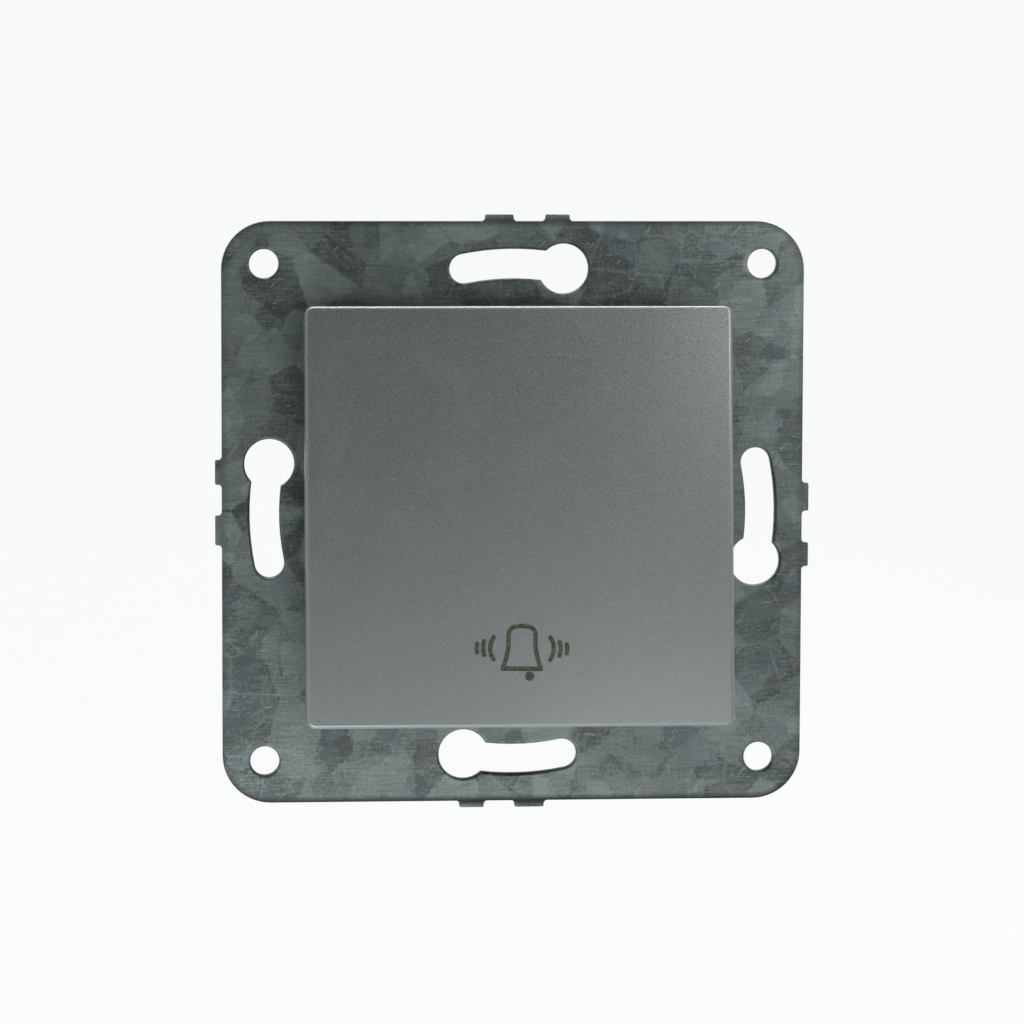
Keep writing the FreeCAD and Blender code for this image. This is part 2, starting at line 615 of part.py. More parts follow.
def housing():
    """Open box behind the plate with a partition, terminal guides, lugs, windows and access holes."""
    x, z = HOUSING_WIDTH / 2, HOUSING_HEIGHT / 2
    body = rounded_block(x, plate_back, housing_back, z, HOUSING_CORNER_RADIUS)
    body = body.cut(block(-cavity_half_width, cavity_half_width, plate_back - 1, housing_back + 1,
                          -cavity_half_height, cavity_half_height))
    for side in (-1, 1):
        inner, outer = sorted((side * recess_x, side * (x + 1)))
        body = body.cut(block(inner, outer, plate_back - 1, housing_back + 1,
                              -claw_lug_outer, claw_lug_outer))
    pieces = [body, block(-cavity_half_width, cavity_half_width, partition_front, partition_back,
                          -cavity_half_height, cavity_half_height)]
    lug = claw_lug()
    for mirrored in (lug, flipped(lug, Vector(1, 0, 0))):
        pieces += [mirrored, flipped(mirrored, Vector(0, 0, 1))]
    rib_low = tongue_z - WIRE_SPACE - CAGE_FLOOR - RIB_LEAD
    for side in (-1, 1):
        x0, x1 = sorted((side * guide_inner, side * (guide_inner + GUIDE_RIB_THICKNESS)))
        for end in (-1, 1):
            z0, z1 = sorted((end * rib_low, end * cavity_half_height))
            pieces.append(block(x0, x1, partition_back, terminal_y + CAGE_LENGTH / 2, z0, z1))
    pieces.append(rod_y(CONTACT_SPRING_RADIUS - CONTACT_SPRING_WIRE - RUNNING_CLEARANCE,
                        partition_front - SPIGOT_HEIGHT, partition_back, 0, -CONTACT_SPRING_DROP))
    whole = fuse_all(pieces)

    cutters = [rod_z(CLAW_PIN_RADIUS, -claw_lug_outer - 1, claw_lug_outer + 1, side * claw_pin_x,
                     claw_pin_y) for side in (-1, 1)]
    tongue_half = STRIP_WIDTH / 2 + RUNNING_CLEARANCE
    window_half = HOOK_WIDTH / 2 + SNAP_GAP
    for end in (-1, 1):
        z0, z1 = sorted((end * tongue_z, end * tongue_outer_z))
        cutters.append(block(-tongue_half, tongue_half, partition_front - 1, partition_back + 1, z0, z1))
        z0, z1 = sorted((end * (cavity_half_height - OVERLAP), end * (z + 1)))
        cutters.append(rod_z(SCREWDRIVER_HOLE_RADIUS, z0, z1, 0, terminal_y))
        for side in (-1, 1):
            x0, x1 = side * hook_x - window_half, side * hook_x + window_half
            cutters.append(block(x0, x1, hook_tip - HOOK_NOSE - RUNNING_CLEARANCE,
                                 hook_tip + 2 * SNAP_GAP, z0, z1))
            cutters.append(block(x0, x1, rim_front + NOSE_INSET - RUNNING_CLEARANCE,
                                 cover_front - NOSE_INSET + RUNNING_CLEARANCE, z0, z1))
    cutters.append(block(-x - 1, x + 1, cover_front, housing_back + 1, -z - 1, z + 1))
    return cut_all(whole, cutters)


def rear_cover():
    """Cover at the back with a plug rim, four snap noses and the two wire entries."""
    x, z = HOUSING_WIDTH / 2, HOUSING_HEIGHT / 2
    rim_x, rim_z = cavity_half_width - RUNNING_CLEARANCE, cavity_half_height - RUNNING_CLEARANCE
    rim = block(-rim_x, rim_x, rim_front, cover_front, -rim_z, rim_z)
    inner_x, inner_z = rim_x - COVER_RIM_THICKNESS, rim_z - COVER_RIM_THICKNESS
    rim = rim.cut(block(-inner_x, inner_x, rim_front - 1, cover_front, -inner_z, inner_z))
    pieces = [rounded_block(x, cover_front, housing_back, z, HOUSING_CORNER_RADIUS), rim]
    nose_half = HOOK_WIDTH / 2
    for side in (-1, 1):
        for end in (-1, 1):
            z0, z1 = sorted((end * (rim_z - OVERLAP), end * (rim_z + HOUSING_WALL / 2)))
            pieces.append(block(side * hook_x - nose_half, side * hook_x + nose_half,
                                rim_front + NOSE_INSET, cover_front - NOSE_INSET, z0, z1))
    cover = fuse_all(pieces)
    entry_z = tongue_z - WIRE_SPACE / 2
    cutters = [rod_y(WIRE_ENTRY_RADIUS, cover_front - 1, housing_back + 1, 0, end * entry_z)
               for end in (-1, 1)]
    for side in (-1, 1):
        x0, x1 = sorted((side * recess_x, side * (x + 1)))
        cutters.append(block(x0, x1, cover_front - 1, housing_back + 1, -claw_lug_outer, claw_lug_outer))
    return cut_all(cover, cutters)


def contact_lever():
    """Spring-brass arm with a rolled eye on the lever pin, at rest."""
    half = LEVER_WIDTH / 2
    eye_radius = LEVER_PIN_RADIUS + RUNNING_CLEARANCE + LEVER_THICKNESS
    arm = fuse_all([
        block(-half, half, lever_front_y, lever_back_y, -contact_drop - LEVER_END, lever_axis_z),
        rod_x(eye_radius, -half, half, lever_axis_y, lever_axis_z),
    ])
    return cut_all(arm, [
        rod_x(LEVER_PIN_RADIUS + RUNNING_CLEARANCE, -half - 1, half + 1, lever_axis_y, lever_axis_z),
        rod_y(CONTACT_SHANK_RADIUS, lever_front_y - 1, lever_back_y + 1, 0, -contact_drop),
    ])


def moving_contact():
    """Contact rivet of the arm, with its head towards the fixed contact."""
    return fuse_all([
        rod_y(CONTACT_RADIUS, lever_back_y, lever_back_y + CONTACT_HEAD, 0, -contact_drop),
        rod_y(CONTACT_SHANK_RADIUS, lever_front_y, lever_back_y, 0, -contact_drop),
    ])


def lever_swing():
    """Angle in degrees that the arm turns while the key is pressed."""
    tilt = radians(REST_TILT)
    foot_y, foot_z = foot_centre()
    rest_y = pivot_y + (foot_y - pivot_y) * cos(tilt) + foot_z * sin(tilt)
    return math.degrees(math.atan((foot_y - rest_y) / (lever_axis_z - foot_z)))


def fixed_contact_front():
    """Level of the fixed contact, just behind where the moving contact's head arrives."""
    swing = radians(lever_swing())
    reach = lever_axis_z + contact_drop + CONTACT_RADIUS
    head = LEVER_THICKNESS / 2 + CONTACT_HEAD
    return lever_axis_y + reach * sin(swing) + head * cos(swing) + CONTACT_GAP_CLOSED


def fixed_contact():
    """Contact rivet in the lower strip."""
    return fuse_all([
        rod_y(CONTACT_RADIUS, fixed_contact_front(), strip_front_y, 0, -contact_drop),
        rod_y(CONTACT_SHANK_RADIUS, strip_front_y, partition_front, 0, -contact_drop),
    ])


def fixed_contact_strip():
    """Brass angle that carries the fixed contact and runs into the lower clamp cage."""
    half = STRIP_WIDTH / 2
    low = -contact_drop - 2 * CONTACT_RADIUS
    strip = fuse_all([
        block(-half, half, strip_front_y, partition_front, low, -tongue_z),
        block(-half, half, strip_front_y, tongue_end_y, -tongue_outer_z, -tongue_z),
    ])
    return strip.cut(rod_y(CONTACT_SHANK_RADIUS, strip_front_y - 1, partition_front + 1, 0, -contact_drop))


def common_strip():
    """Brass bracket with two lugs for the lever pin, which runs into the upper clamp cage."""
    half = STRIP_WIDTH / 2
    lug_inner = LEVER_WIDTH / 2 + SLIDE_GAP
    lug_outer = lug_inner + LUG_THICKNESS
    lug_radius = 2 * LEVER_PIN_RADIUS
    low, high = lever_axis_z - lug_radius, lever_axis_z + lug_radius
    pieces = [
        block(-lug_outer, lug_outer, strip_front_y, partition_front, low, high),
        block(-half, half, strip_front_y, partition_front, low, tongue_outer_z),
        block(-half, half, strip_front_y, tongue_end_y, tongue_z, tongue_outer_z),
    ]
    for side in (-1, 1):
        inner, outer = sorted((side * lug_inner, side * lug_outer))
        pieces.append(block(inner, outer, lever_axis_y, partition_front, low, high))
        pieces.append(rod_x(lug_radius, inner, outer, lever_axis_y, lever_axis_z))
    return fuse_all(pieces).cut(rod_x(LEVER_PIN_RADIUS, -lug_outer - 1, lug_outer + 1,
                                      lever_axis_y, lever_axis_z))


def lever_pin():
    """Pin through the bracket's lugs."""
    end = LEVER_WIDTH / 2 + SLIDE_GAP + LUG_THICKNESS + PIN_END
    return rod_x(LEVER_PIN_RADIUS, -end, end, lever_axis_y, lever_axis_z)


def contact_spring():
    """Outer form of the coil that pushes the arm off the fixed contact."""
    coil = rod_y(CONTACT_SPRING_RADIUS, lever_back_y, partition_front, 0, -CONTACT_SPRING_DROP)
    return coil.cut(rod_y(CONTACT_SPRING_RADIUS - CONTACT_SPRING_WIRE, lever_back_y - 1,
                          partition_front + 1, 0, -CONTACT_SPRING_DROP))


def terminal_cage():
    """Upper clamp cage in its open place: a square tube round the tongue and the wire space."""
    inner_half = cage_half_width - CAGE_WALL
    y0, y1 = terminal_y - CAGE_LENGTH / 2, terminal_y + CAGE_LENGTH / 2
    floor = tongue_z - WIRE_SPACE
    cage = block(-cage_half_width, cage_half_width, y0, y1, floor - CAGE_FLOOR, cage_open_top)
    return cut_all(cage, [
        block(-inner_half, inner_half, y0 - 1, y1 + 1, floor, cage_ceiling),
        rod_z(TERMINAL_SCREW_RADIUS + RUNNING_CLEARANCE, cage_ceiling - 1, cage_open_top + 1,
              0, terminal_y),
    ])


def terminal_screw():
    """Upper terminal screw, whose tip bears on the tongue while it draws the cage up."""
    tip = tongue_outer_z + RUNNING_CLEARANCE
    top = terminal_head_z + TERMINAL_HEAD_HEIGHT
    screw = fuse_all([
        rod_z(TERMINAL_SCREW_RADIUS, tip, terminal_head_z, 0, terminal_y),
        rod_z(TERMINAL_HEAD_RADIUS, terminal_head_z, top, 0, terminal_y),
    ])
    half = SLOT_DRIVE_WIDTH / 2
    return screw.cut(block(-TERMINAL_HEAD_RADIUS, TERMINAL_HEAD_RADIUS, terminal_y - half,
                           terminal_y + half, top - SLOT_DRIVE_DEPTH, top + 1))


def dome_centre(swing):
    """Depth of the centre of a bridge's domed front when its claw's foot is tilted by an angle."""
    reach = CLAW_THICKNESS / 2 + BRIDGE_DOME_RADIUS + BRIDGE_CLEARANCE
    return claw_pin_y + (reach + CLAW_LEVER * sin(swing)) / cos(swing)


def claw():
    """Right claw at rest: a rolled eye, a foot that the bridge pulls and a toothed arm."""
    half = CLAW_WIDTH / 2
    eye = CLAW_PIN_RADIUS + RUNNING_CLEARANCE
    outer = eye + CLAW_THICKNESS
    centre = Vector(claw_pin_x, claw_pin_y, 0)
    foot = block(claw_pin_x - CLAW_FOOT_LENGTH, claw_pin_x, claw_pin_y - CLAW_THICKNESS / 2,
                 claw_pin_y + CLAW_THICKNESS / 2, -half, half)
    foot = foot.cut(rod_y(CLAW_SLOT_RADIUS, claw_pin_y - 2, claw_pin_y + 2,
                          claw_screw_x, 0))
    foot = turned(foot, -CLAW_SWING / 2, centre, Vector(0, 0, 1))
    arm_inner, arm_outer = claw_pin_x + eye, claw_pin_x + outer
    tip = block(arm_inner, arm_outer + CLAW_TOOTH, claw_tip_y, claw_tip_y + CLAW_THICKNESS,
                -half, half)
    pitch = CLAW_WIDTH / CLAW_TEETH
    for n in range(1, CLAW_TEETH):
        z = -half + n * pitch
        notch = Part.Face(Part.makePolygon([
            Vector(arm_outer, claw_tip_y, z), Vector(arm_outer + CLAW_TOOTH, claw_tip_y, z - pitch / 3),
            Vector(arm_outer + CLAW_TOOTH, claw_tip_y, z + pitch / 3),
            Vector(arm_outer, claw_tip_y, z)])).extrude(Vector(0, CLAW_THICKNESS, 0))
        tip = tip.cut(notch)
    shape = fuse_all([
        rod_z(outer, -half, half, claw_pin_x, claw_pin_y),
        block(arm_inner, arm_outer, claw_tip_y, claw_pin_y, -half, half),
        foot, tip,
    ])
    return shape.cut(rod_z(eye, -half - 1, half + 1, claw_pin_x, claw_pin_y))


def claw_bridge():
    """Right threaded bridge at rest, with a domed front that the claw's foot rocks on."""
    centre_y = dome_centre(radians(CLAW_SWING / 2))
    front = centre_y - BRIDGE_DOME_RADIUS
    half_x, half_z = BRIDGE_WIDTH / 2, claw_lug_inner - SLIDE_GAP
    bar = block(claw_screw_x - half_x, claw_screw_x + half_x, front, front + BRIDGE_THICKNESS,
                -half_z, half_z)
    bar = bar.common(rod_z(BRIDGE_DOME_RADIUS, -half_z, half_z, claw_screw_x, centre_y))
    return bar.cut(rod_y(CLAW_SCREW_RADIUS + RUNNING_CLEARANCE, front - 1,
                         front + BRIDGE_THICKNESS + 1, claw_screw_x, 0))


def claw_screw():
    """Right claw screw, with its slotted head in front of the plate."""
    end = dome_centre(radians(CLAW_SWING / 2)) - BRIDGE_DOME_RADIUS + BRIDGE_THICKNESS + SCREW_END
    top = -RUNNING_CLEARANCE - CLAW_HEAD_HEIGHT
    screw = fuse_all([
        rod_y(CLAW_SCREW_RADIUS, -RUNNING_CLEARANCE, end, claw_screw_x, 0),
        rod_y(CLAW_HEAD_RADIUS, top, -RUNNING_CLEARANCE, claw_screw_x, 0),
    ])
    half = SLOT_DRIVE_WIDTH / 2
    return screw.cut(block(claw_screw_x - CLAW_HEAD_RADIUS, claw_screw_x + CLAW_HEAD_RADIUS,
                           top - 1, top + SLOT_DRIVE_DEPTH, -half, half))


def claw_pin():
    """Right pin that the claw turns on, held in both lugs."""
    return rod_z(CLAW_PIN_RADIUS, -claw_lug_outer, claw_lug_outer, claw_pin_x, claw_pin_y)


def build_all():
    """Every node by name."""
    nodes = {
        "mounting_plate": mounting_plate(),
        "key_cap": key_cap(),
        "rocker": rocker(),
        "bearing_frame": bearing_frame(),
        "return_spring_left": return_spring(-1),
        "return_spring_right": return_spring(1),
        "housing": housing(),
        "rear_cover": rear_cover(),
        "contact_lever": contact_lever(),
        "moving_contact": moving_contact(),
        "lever_pin": lever_pin(),
        "contact_spring": contact_spring(),
        "common_strip": common_strip(),
        "fixed_contact_strip": fixed_contact_strip(),
        "fixed_contact": fixed_contact(),
    }
    for name, shape in (("terminal_cage", terminal_cage()), ("terminal_screw", terminal_screw())):
        nodes[name + "_top"] = shape
        nodes[name + "_bottom"] = flipped(shape, Vector(0, 0, 1))
    for name, shape in (("claw", claw()), ("claw_bridge", claw_bridge()), ("claw_screw", claw_screw()),
                        ("claw_pin", claw_pin())):
        nodes[name + "_right"] = shape
        nodes[name + "_left"] = flipped(shape, Vector(1, 0, 0))
    return nodes


def main():
    """Writes one STEP file for each node."""
    os.makedirs("parts", exist_ok=True)
    for name, shape in build_all().items():
        shape.exportStep("parts/" + name + ".step")
        print(f"{name}: {len(shape.Solids)} solid, {shape.Volume:.1f} mm3, valid {shape.isValid()}")
    print(f"contact arm swing {lever_swing():.4f} deg")
    travel = dome_centre(radians(CLAW_SWING / 2)) - dome_centre(radians(-CLAW_SWING / 2))
    print(f"claw bridge travel {travel:.4f} mm")


main()
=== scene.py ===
"""Dresses the flush doorbell push button and sets up its picture.

Metres, with X to the right, Y into the wall and Z up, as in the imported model. Patterns in the
materials are drawn in millimetres on Object coordinates.
"""
import logging
import math
from dataclasses import dataclass
from enum import Enum
from functools import reduce

import bmesh
import bpy
from mathutils import Matrix, Vector


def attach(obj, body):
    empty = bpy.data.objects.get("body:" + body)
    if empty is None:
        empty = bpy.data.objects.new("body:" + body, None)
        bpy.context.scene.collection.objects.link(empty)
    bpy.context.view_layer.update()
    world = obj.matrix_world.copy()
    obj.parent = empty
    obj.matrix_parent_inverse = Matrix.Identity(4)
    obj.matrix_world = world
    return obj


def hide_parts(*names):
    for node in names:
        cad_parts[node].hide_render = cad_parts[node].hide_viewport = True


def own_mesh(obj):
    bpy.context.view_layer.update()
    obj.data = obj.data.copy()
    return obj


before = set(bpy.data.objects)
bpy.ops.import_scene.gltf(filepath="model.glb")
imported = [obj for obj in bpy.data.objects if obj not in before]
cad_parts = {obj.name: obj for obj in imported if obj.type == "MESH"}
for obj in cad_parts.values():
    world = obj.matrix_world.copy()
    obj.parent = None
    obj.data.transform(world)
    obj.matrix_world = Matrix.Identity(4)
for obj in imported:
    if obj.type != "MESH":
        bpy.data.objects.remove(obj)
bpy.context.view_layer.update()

log = logging.getLogger("doorbell_push_button")

Colour = tuple[float, float, float]
Point = tuple[float, float, float]
Socket = bpy.types.NodeSocket
Node = bpy.types.Node
Material = bpy.types.Material
Piece = bpy.types.Object
MM = 0.001
# Points nearer than this, in metres, are one.
NEAR = 1e-6


class Half(Enum):
    """One of two opposite halves of the insert."""

    @property
    def label(self) -> str:
        """The word that ends this half's node and body names."""
        return self.name.lower()


class Side(Half):
    """Left or right, as seen from the front."""

    LEFT = -1
    RIGHT = 1


class End(Half):
    """Upper or lower."""

    TOP = 1
    BOTTOM = -1


def dimmed(colour: Colour, factor: float) -> Colour:
    """A colour with each of its parts multiplied."""
    return tuple(part * factor for part in colour)


class Graph:
    """A node tree with short calls that add nodes and join them."""

    def __init__(self, tree: bpy.types.NodeTree) -> None:
        """Takes over the tree of a material, a world or a group."""
        self.tree = tree

    def feed(self, target: Socket, value: object) -> None:
        """Links a socket to another, or sets its value.

        Args:
            target: the input socket.
            value: an output socket, a number, a colour or a vector.
        """
        if isinstance(value, Socket):
            self.tree.links.new(value, target)
        elif isinstance(value, tuple) and target.type == "RGBA":
            target.default_value = (*value, 1.0)
        else:
            target.default_value = value

    def fill(self, node: Node, **values: object) -> Node:
        """Feeds a node's inputs by their names.

        Args:
            node: the node.
            values: the inputs, with _ for a space in a name.

        Returns:
            The node.
        """
        for name, value in values.items():
            self.feed(node.inputs[name.replace("_", " ")], value)
        return node

    def add(self, kind: str, *values: object, **settings: object) -> Node:
        """Adds one node.

        Args:
            kind: the node's type, without its ShaderNode prefix where it has one.
            values: its first inputs, in order.
            settings: properties to set on the node.

        Returns:
            The new node.
        """
        node = self.tree.nodes.new(kind if kind.startswith("Node") else "ShaderNode" + kind)
        for name, value in settings.items():
            setattr(node, name, value)
        for socket, value in zip(node.inputs, values):
            self.feed(socket, value)
        return node

    def maths(self, operation: str, *values: object) -> Socket:
        """The result of one Math node."""
        return self.add("Math", *values, operation=operation).outputs[0]

    def product(self, *values: object) -> Socket:
        """Several values multiplied."""
        return reduce(lambda total, value: self.maths("MULTIPLY", total, value), values)

    def squares(self, first: Socket, second: Socket) -> Socket:
        """The sum of two squares."""
        return self.maths("MULTIPLY_ADD", first, first, self.maths("MULTIPLY", second, second))

    def spread(self, value: object, low: float, high: float, to_low: object = 0.0,
               to_high: float = 1.0, smooth: bool = False) -> Socket:
        """Maps a range of values to another and clamps it.

        Args:
            value: the value to map.
            low: where the first range starts.
            high: where the first range ends.
            to_low: what the start becomes.
            to_high: what the end becomes.
            smooth: whether the ends are eased.

        Returns:
            The mapped value.
        """
        kind = "SMOOTHSTEP" if smooth else "LINEAR"
        node = self.add("MapRange", value, low, high, to_low, to_high, interpolation_type=kind)
        return node.outputs["Result"]

    def blend(self, factor: object, first: object, second: object) -> Socket:
        """Mixes two colours.

        Args:
            factor: how much of the second is used.
            first: the first colour.
            second: the second colour.

        Returns:
            The mixed colour.
        """
        node = self.add("Mix", factor, data_type="RGBA")
        self.feed(node.inputs[6], first)
        self.feed(node.inputs[7], second)
        return node.outputs[2]

    def scaled(self, colour: object, factor: Socket) -> Socket:
        """A colour made darker or lighter."""
        node = self.add("VectorMath", colour, operation="SCALE")
        return self.fill(node, Scale=factor).outputs[0]

    def stretched(self, vector: object, stretch: Point) -> Socket:
        """A vector with each of its parts multiplied."""
        return self.add("VectorMath", vector, stretch, operation="MULTIPLY").outputs[0]

    def millimetres(self, turn: Point = (0.0, 0.0, 0.0),
                    stretch: Point = (1.0, 1.0, 1.0)) -> Socket:
        """Object coordinates in millimetres.

        Args:
            turn: rotation in degrees about X, Y and Z.
            stretch: factor along each axis.

        Returns:
            The mapped coordinates.
        """
        mapping = self.add("Mapping", self.add("TexCoord").outputs["Object"])
        mapping.inputs["Rotation"].default_value = tuple(math.radians(angle) for angle in turn)
        mapping.inputs["Scale"].default_value = tuple(factor / MM for factor in stretch)
        return mapping.outputs["Vector"]

    def noise(self, vector: object, size: float, detail: float = 2.0, roughness: float = 0.5,
              distortion: float = 0.0) -> Node:
        """A noise texture with blotches of the given size in millimetres."""
        return self.fill(self.add("TexNoise"), Vector=vector, Scale=1.0 / size, Detail=detail,
                         Roughness=roughness, Distortion=distortion)

    def cells(self, vector: object, size: float, feature: str = "F1") -> Node:
        """A Voronoi texture with cells of the given size in millimetres."""
        return self.fill(self.add("TexVoronoi", feature=feature), Vector=vector, Scale=1.0 / size)

    def bump(self, height: object, depth: float, strength: float = 1.0,
             normal: object = None) -> Socket:
        """A Bump node.

        Args:
            height: the height, from 0 to 1.
            depth: what a height of 1 is, in millimetres.
            strength: how strong the effect is.
            normal: another bump's normal to build on.

        Returns:
            The bumped normal.
        """
        node = self.fill(self.add("Bump"), Height=height, Distance=depth * MM, Strength=strength)
        if normal is not None:
            self.feed(node.inputs["Normal"], normal)
        return node.outputs["Normal"]

    def seen(self) -> Socket:
        """Whether the camera, a reflection or a clear piece looks at the surface.

        Returns:
            1 for such rays and 0 for the light that falls on the object.
        """
        path = self.add("LightPath")
        direct = self.maths("MAXIMUM", path.outputs["Is Camera Ray"], path.outputs["Is Glossy Ray"])
        return self.maths("MAXIMUM", direct, path.outputs["Is Transmission Ray"])

    def group(self, tree: bpy.types.NodeTree, **values: object) -> Node:
        """Places a node group and feeds its inputs by their names."""
        return self.fill(self.add("Group", node_tree=tree), **values)


class Effects:
    """The effects that several materials share, each as a node group that is built once."""

    def __init__(self) -> None:
        """Builds the groups."""
        self.rolling = self.rolling_marks()
        self.grain = self.moulded_grain()
        self.handling = self.handling_marks()

    @staticmethod
    def start(name: str, numbers: dict[str, float],
              results: tuple[str, ...]) -> tuple[Graph, Node, Node]:
        """Opens a new group with a Vector input.

        Args:
            name: the group's name.
            numbers: its number inputs and their usual values.
            results: the names of its outputs.

        Returns:
            The graph, the input node and the output node.
        """
        tree = bpy.data.node_groups.new(name, "ShaderNodeTree")
        tree.interface.new_socket("Vector", in_out="INPUT", socket_type="NodeSocketVector")
        for label, value in numbers.items():
            socket = tree.interface.new_socket(label, in_out="INPUT", socket_type="NodeSocketFloat")
            socket.default_value = value
        for label in results:
            tree.interface.new_socket(label, in_out="OUTPUT", socket_type="NodeSocketFloat")
        graph = Graph(tree)
        return graph, graph.add("NodeGroupInput"), graph.add("NodeGroupOutput")

    def rolling_marks(self) -> bpy.types.NodeTree:
        """Fine lines and stray scratches along X.

        Returns:
            The group, with the outputs Lines and Scratches.
        """
        graph, source, result = self.start(
            "rolling_marks", {"Line Size": 0.12, "Line Length": 6.0}, ("Lines", "Scratches"))
        parts = graph.add("SeparateXYZ", source.outputs["Vector"])
        drawn = graph.add(
            "CombineXYZ", graph.maths("DIVIDE", parts.outputs["X"], source.outputs["Line Length"]),
            graph.maths("MULTIPLY", parts.outputs["Y"], 0.7),
            graph.maths("DIVIDE", parts.outputs["Z"], source.outputs["Line Size"])).outputs[0]
        lines = graph.noise(drawn, 1.0, detail=3.0, roughness=0.6)
        stray = graph.noise(graph.stretched(drawn, (2.6, 1.0, 0.55)), 1.0, detail=1.0,
                            distortion=0.35)
        graph.fill(result, Lines=lines.outputs[0],
                   Scratches=graph.spread(stray.outputs[0], 0.66, 0.74, smooth=True))
        return graph.tree

    def moulded_grain(self) -> bpy.types.NodeTree:
        """Spark-eroded texture of a moulded surface.

        Returns:
            The group, with the outputs Height and Tone.
        """
        graph, source, result = self.start("moulded_grain", {"Size": 0.2}, ("Height", "Tone"))
        pits = graph.fill(graph.add("TexNoise"), Vector=source.outputs["Vector"], Detail=3.0,
                          Scale=graph.maths("DIVIDE", 1.0, source.outputs["Size"]), Roughness=0.6)
        cloud = graph.noise(source.outputs["Vector"], 7.0, detail=3.0)
        graph.fill(result, Height=pits.outputs[0], Tone=graph.spread(cloud.outputs[0], 0.3, 0.7))
        return graph.tree

    def handling_marks(self) -> bpy.types.NodeTree:
        """Faint smears and dust from handling.

        Returns:
            The group, with the output Smear.
        """
        graph, source, result = self.start("handling_marks", {"Amount": 1.0}, ("Smear",))
        wide = graph.noise(source.outputs["Vector"], 5.0, detail=4.0, roughness=0.6, distortion=0.8)
        mask = graph.spread(wide.outputs[0], 0.42, 0.72, smooth=True)
        graph.fill(result, Smear=graph.maths("MULTIPLY", mask, source.outputs["Amount"]))
        return graph.tree


@dataclass(frozen=True)
class Finish:
    """What all finishes share: a name and a Principled shader with plain values."""

    name: str

    def open(self, **plain: object) -> tuple[Material, Graph, Node]:
        """Starts a material.

        Args:
            plain: values of the shader's own sockets, with _ for a space in a name.

        Returns:
            The material, its graph and its Principled node.
        """
        material = bpy.data.materials.new(self.name)
        material.use_nodes = True
        graph = Graph(material.node_tree)
        return material, graph, graph.fill(material.node_tree.nodes["Principled BSDF"], **plain)


@dataclass(frozen=True)
class CrystalSize:
    """Zinc crystals of one size in millimetres, dark up to one share and light past another."""

    size: float
    dark: float
    plain: float
    weight: float


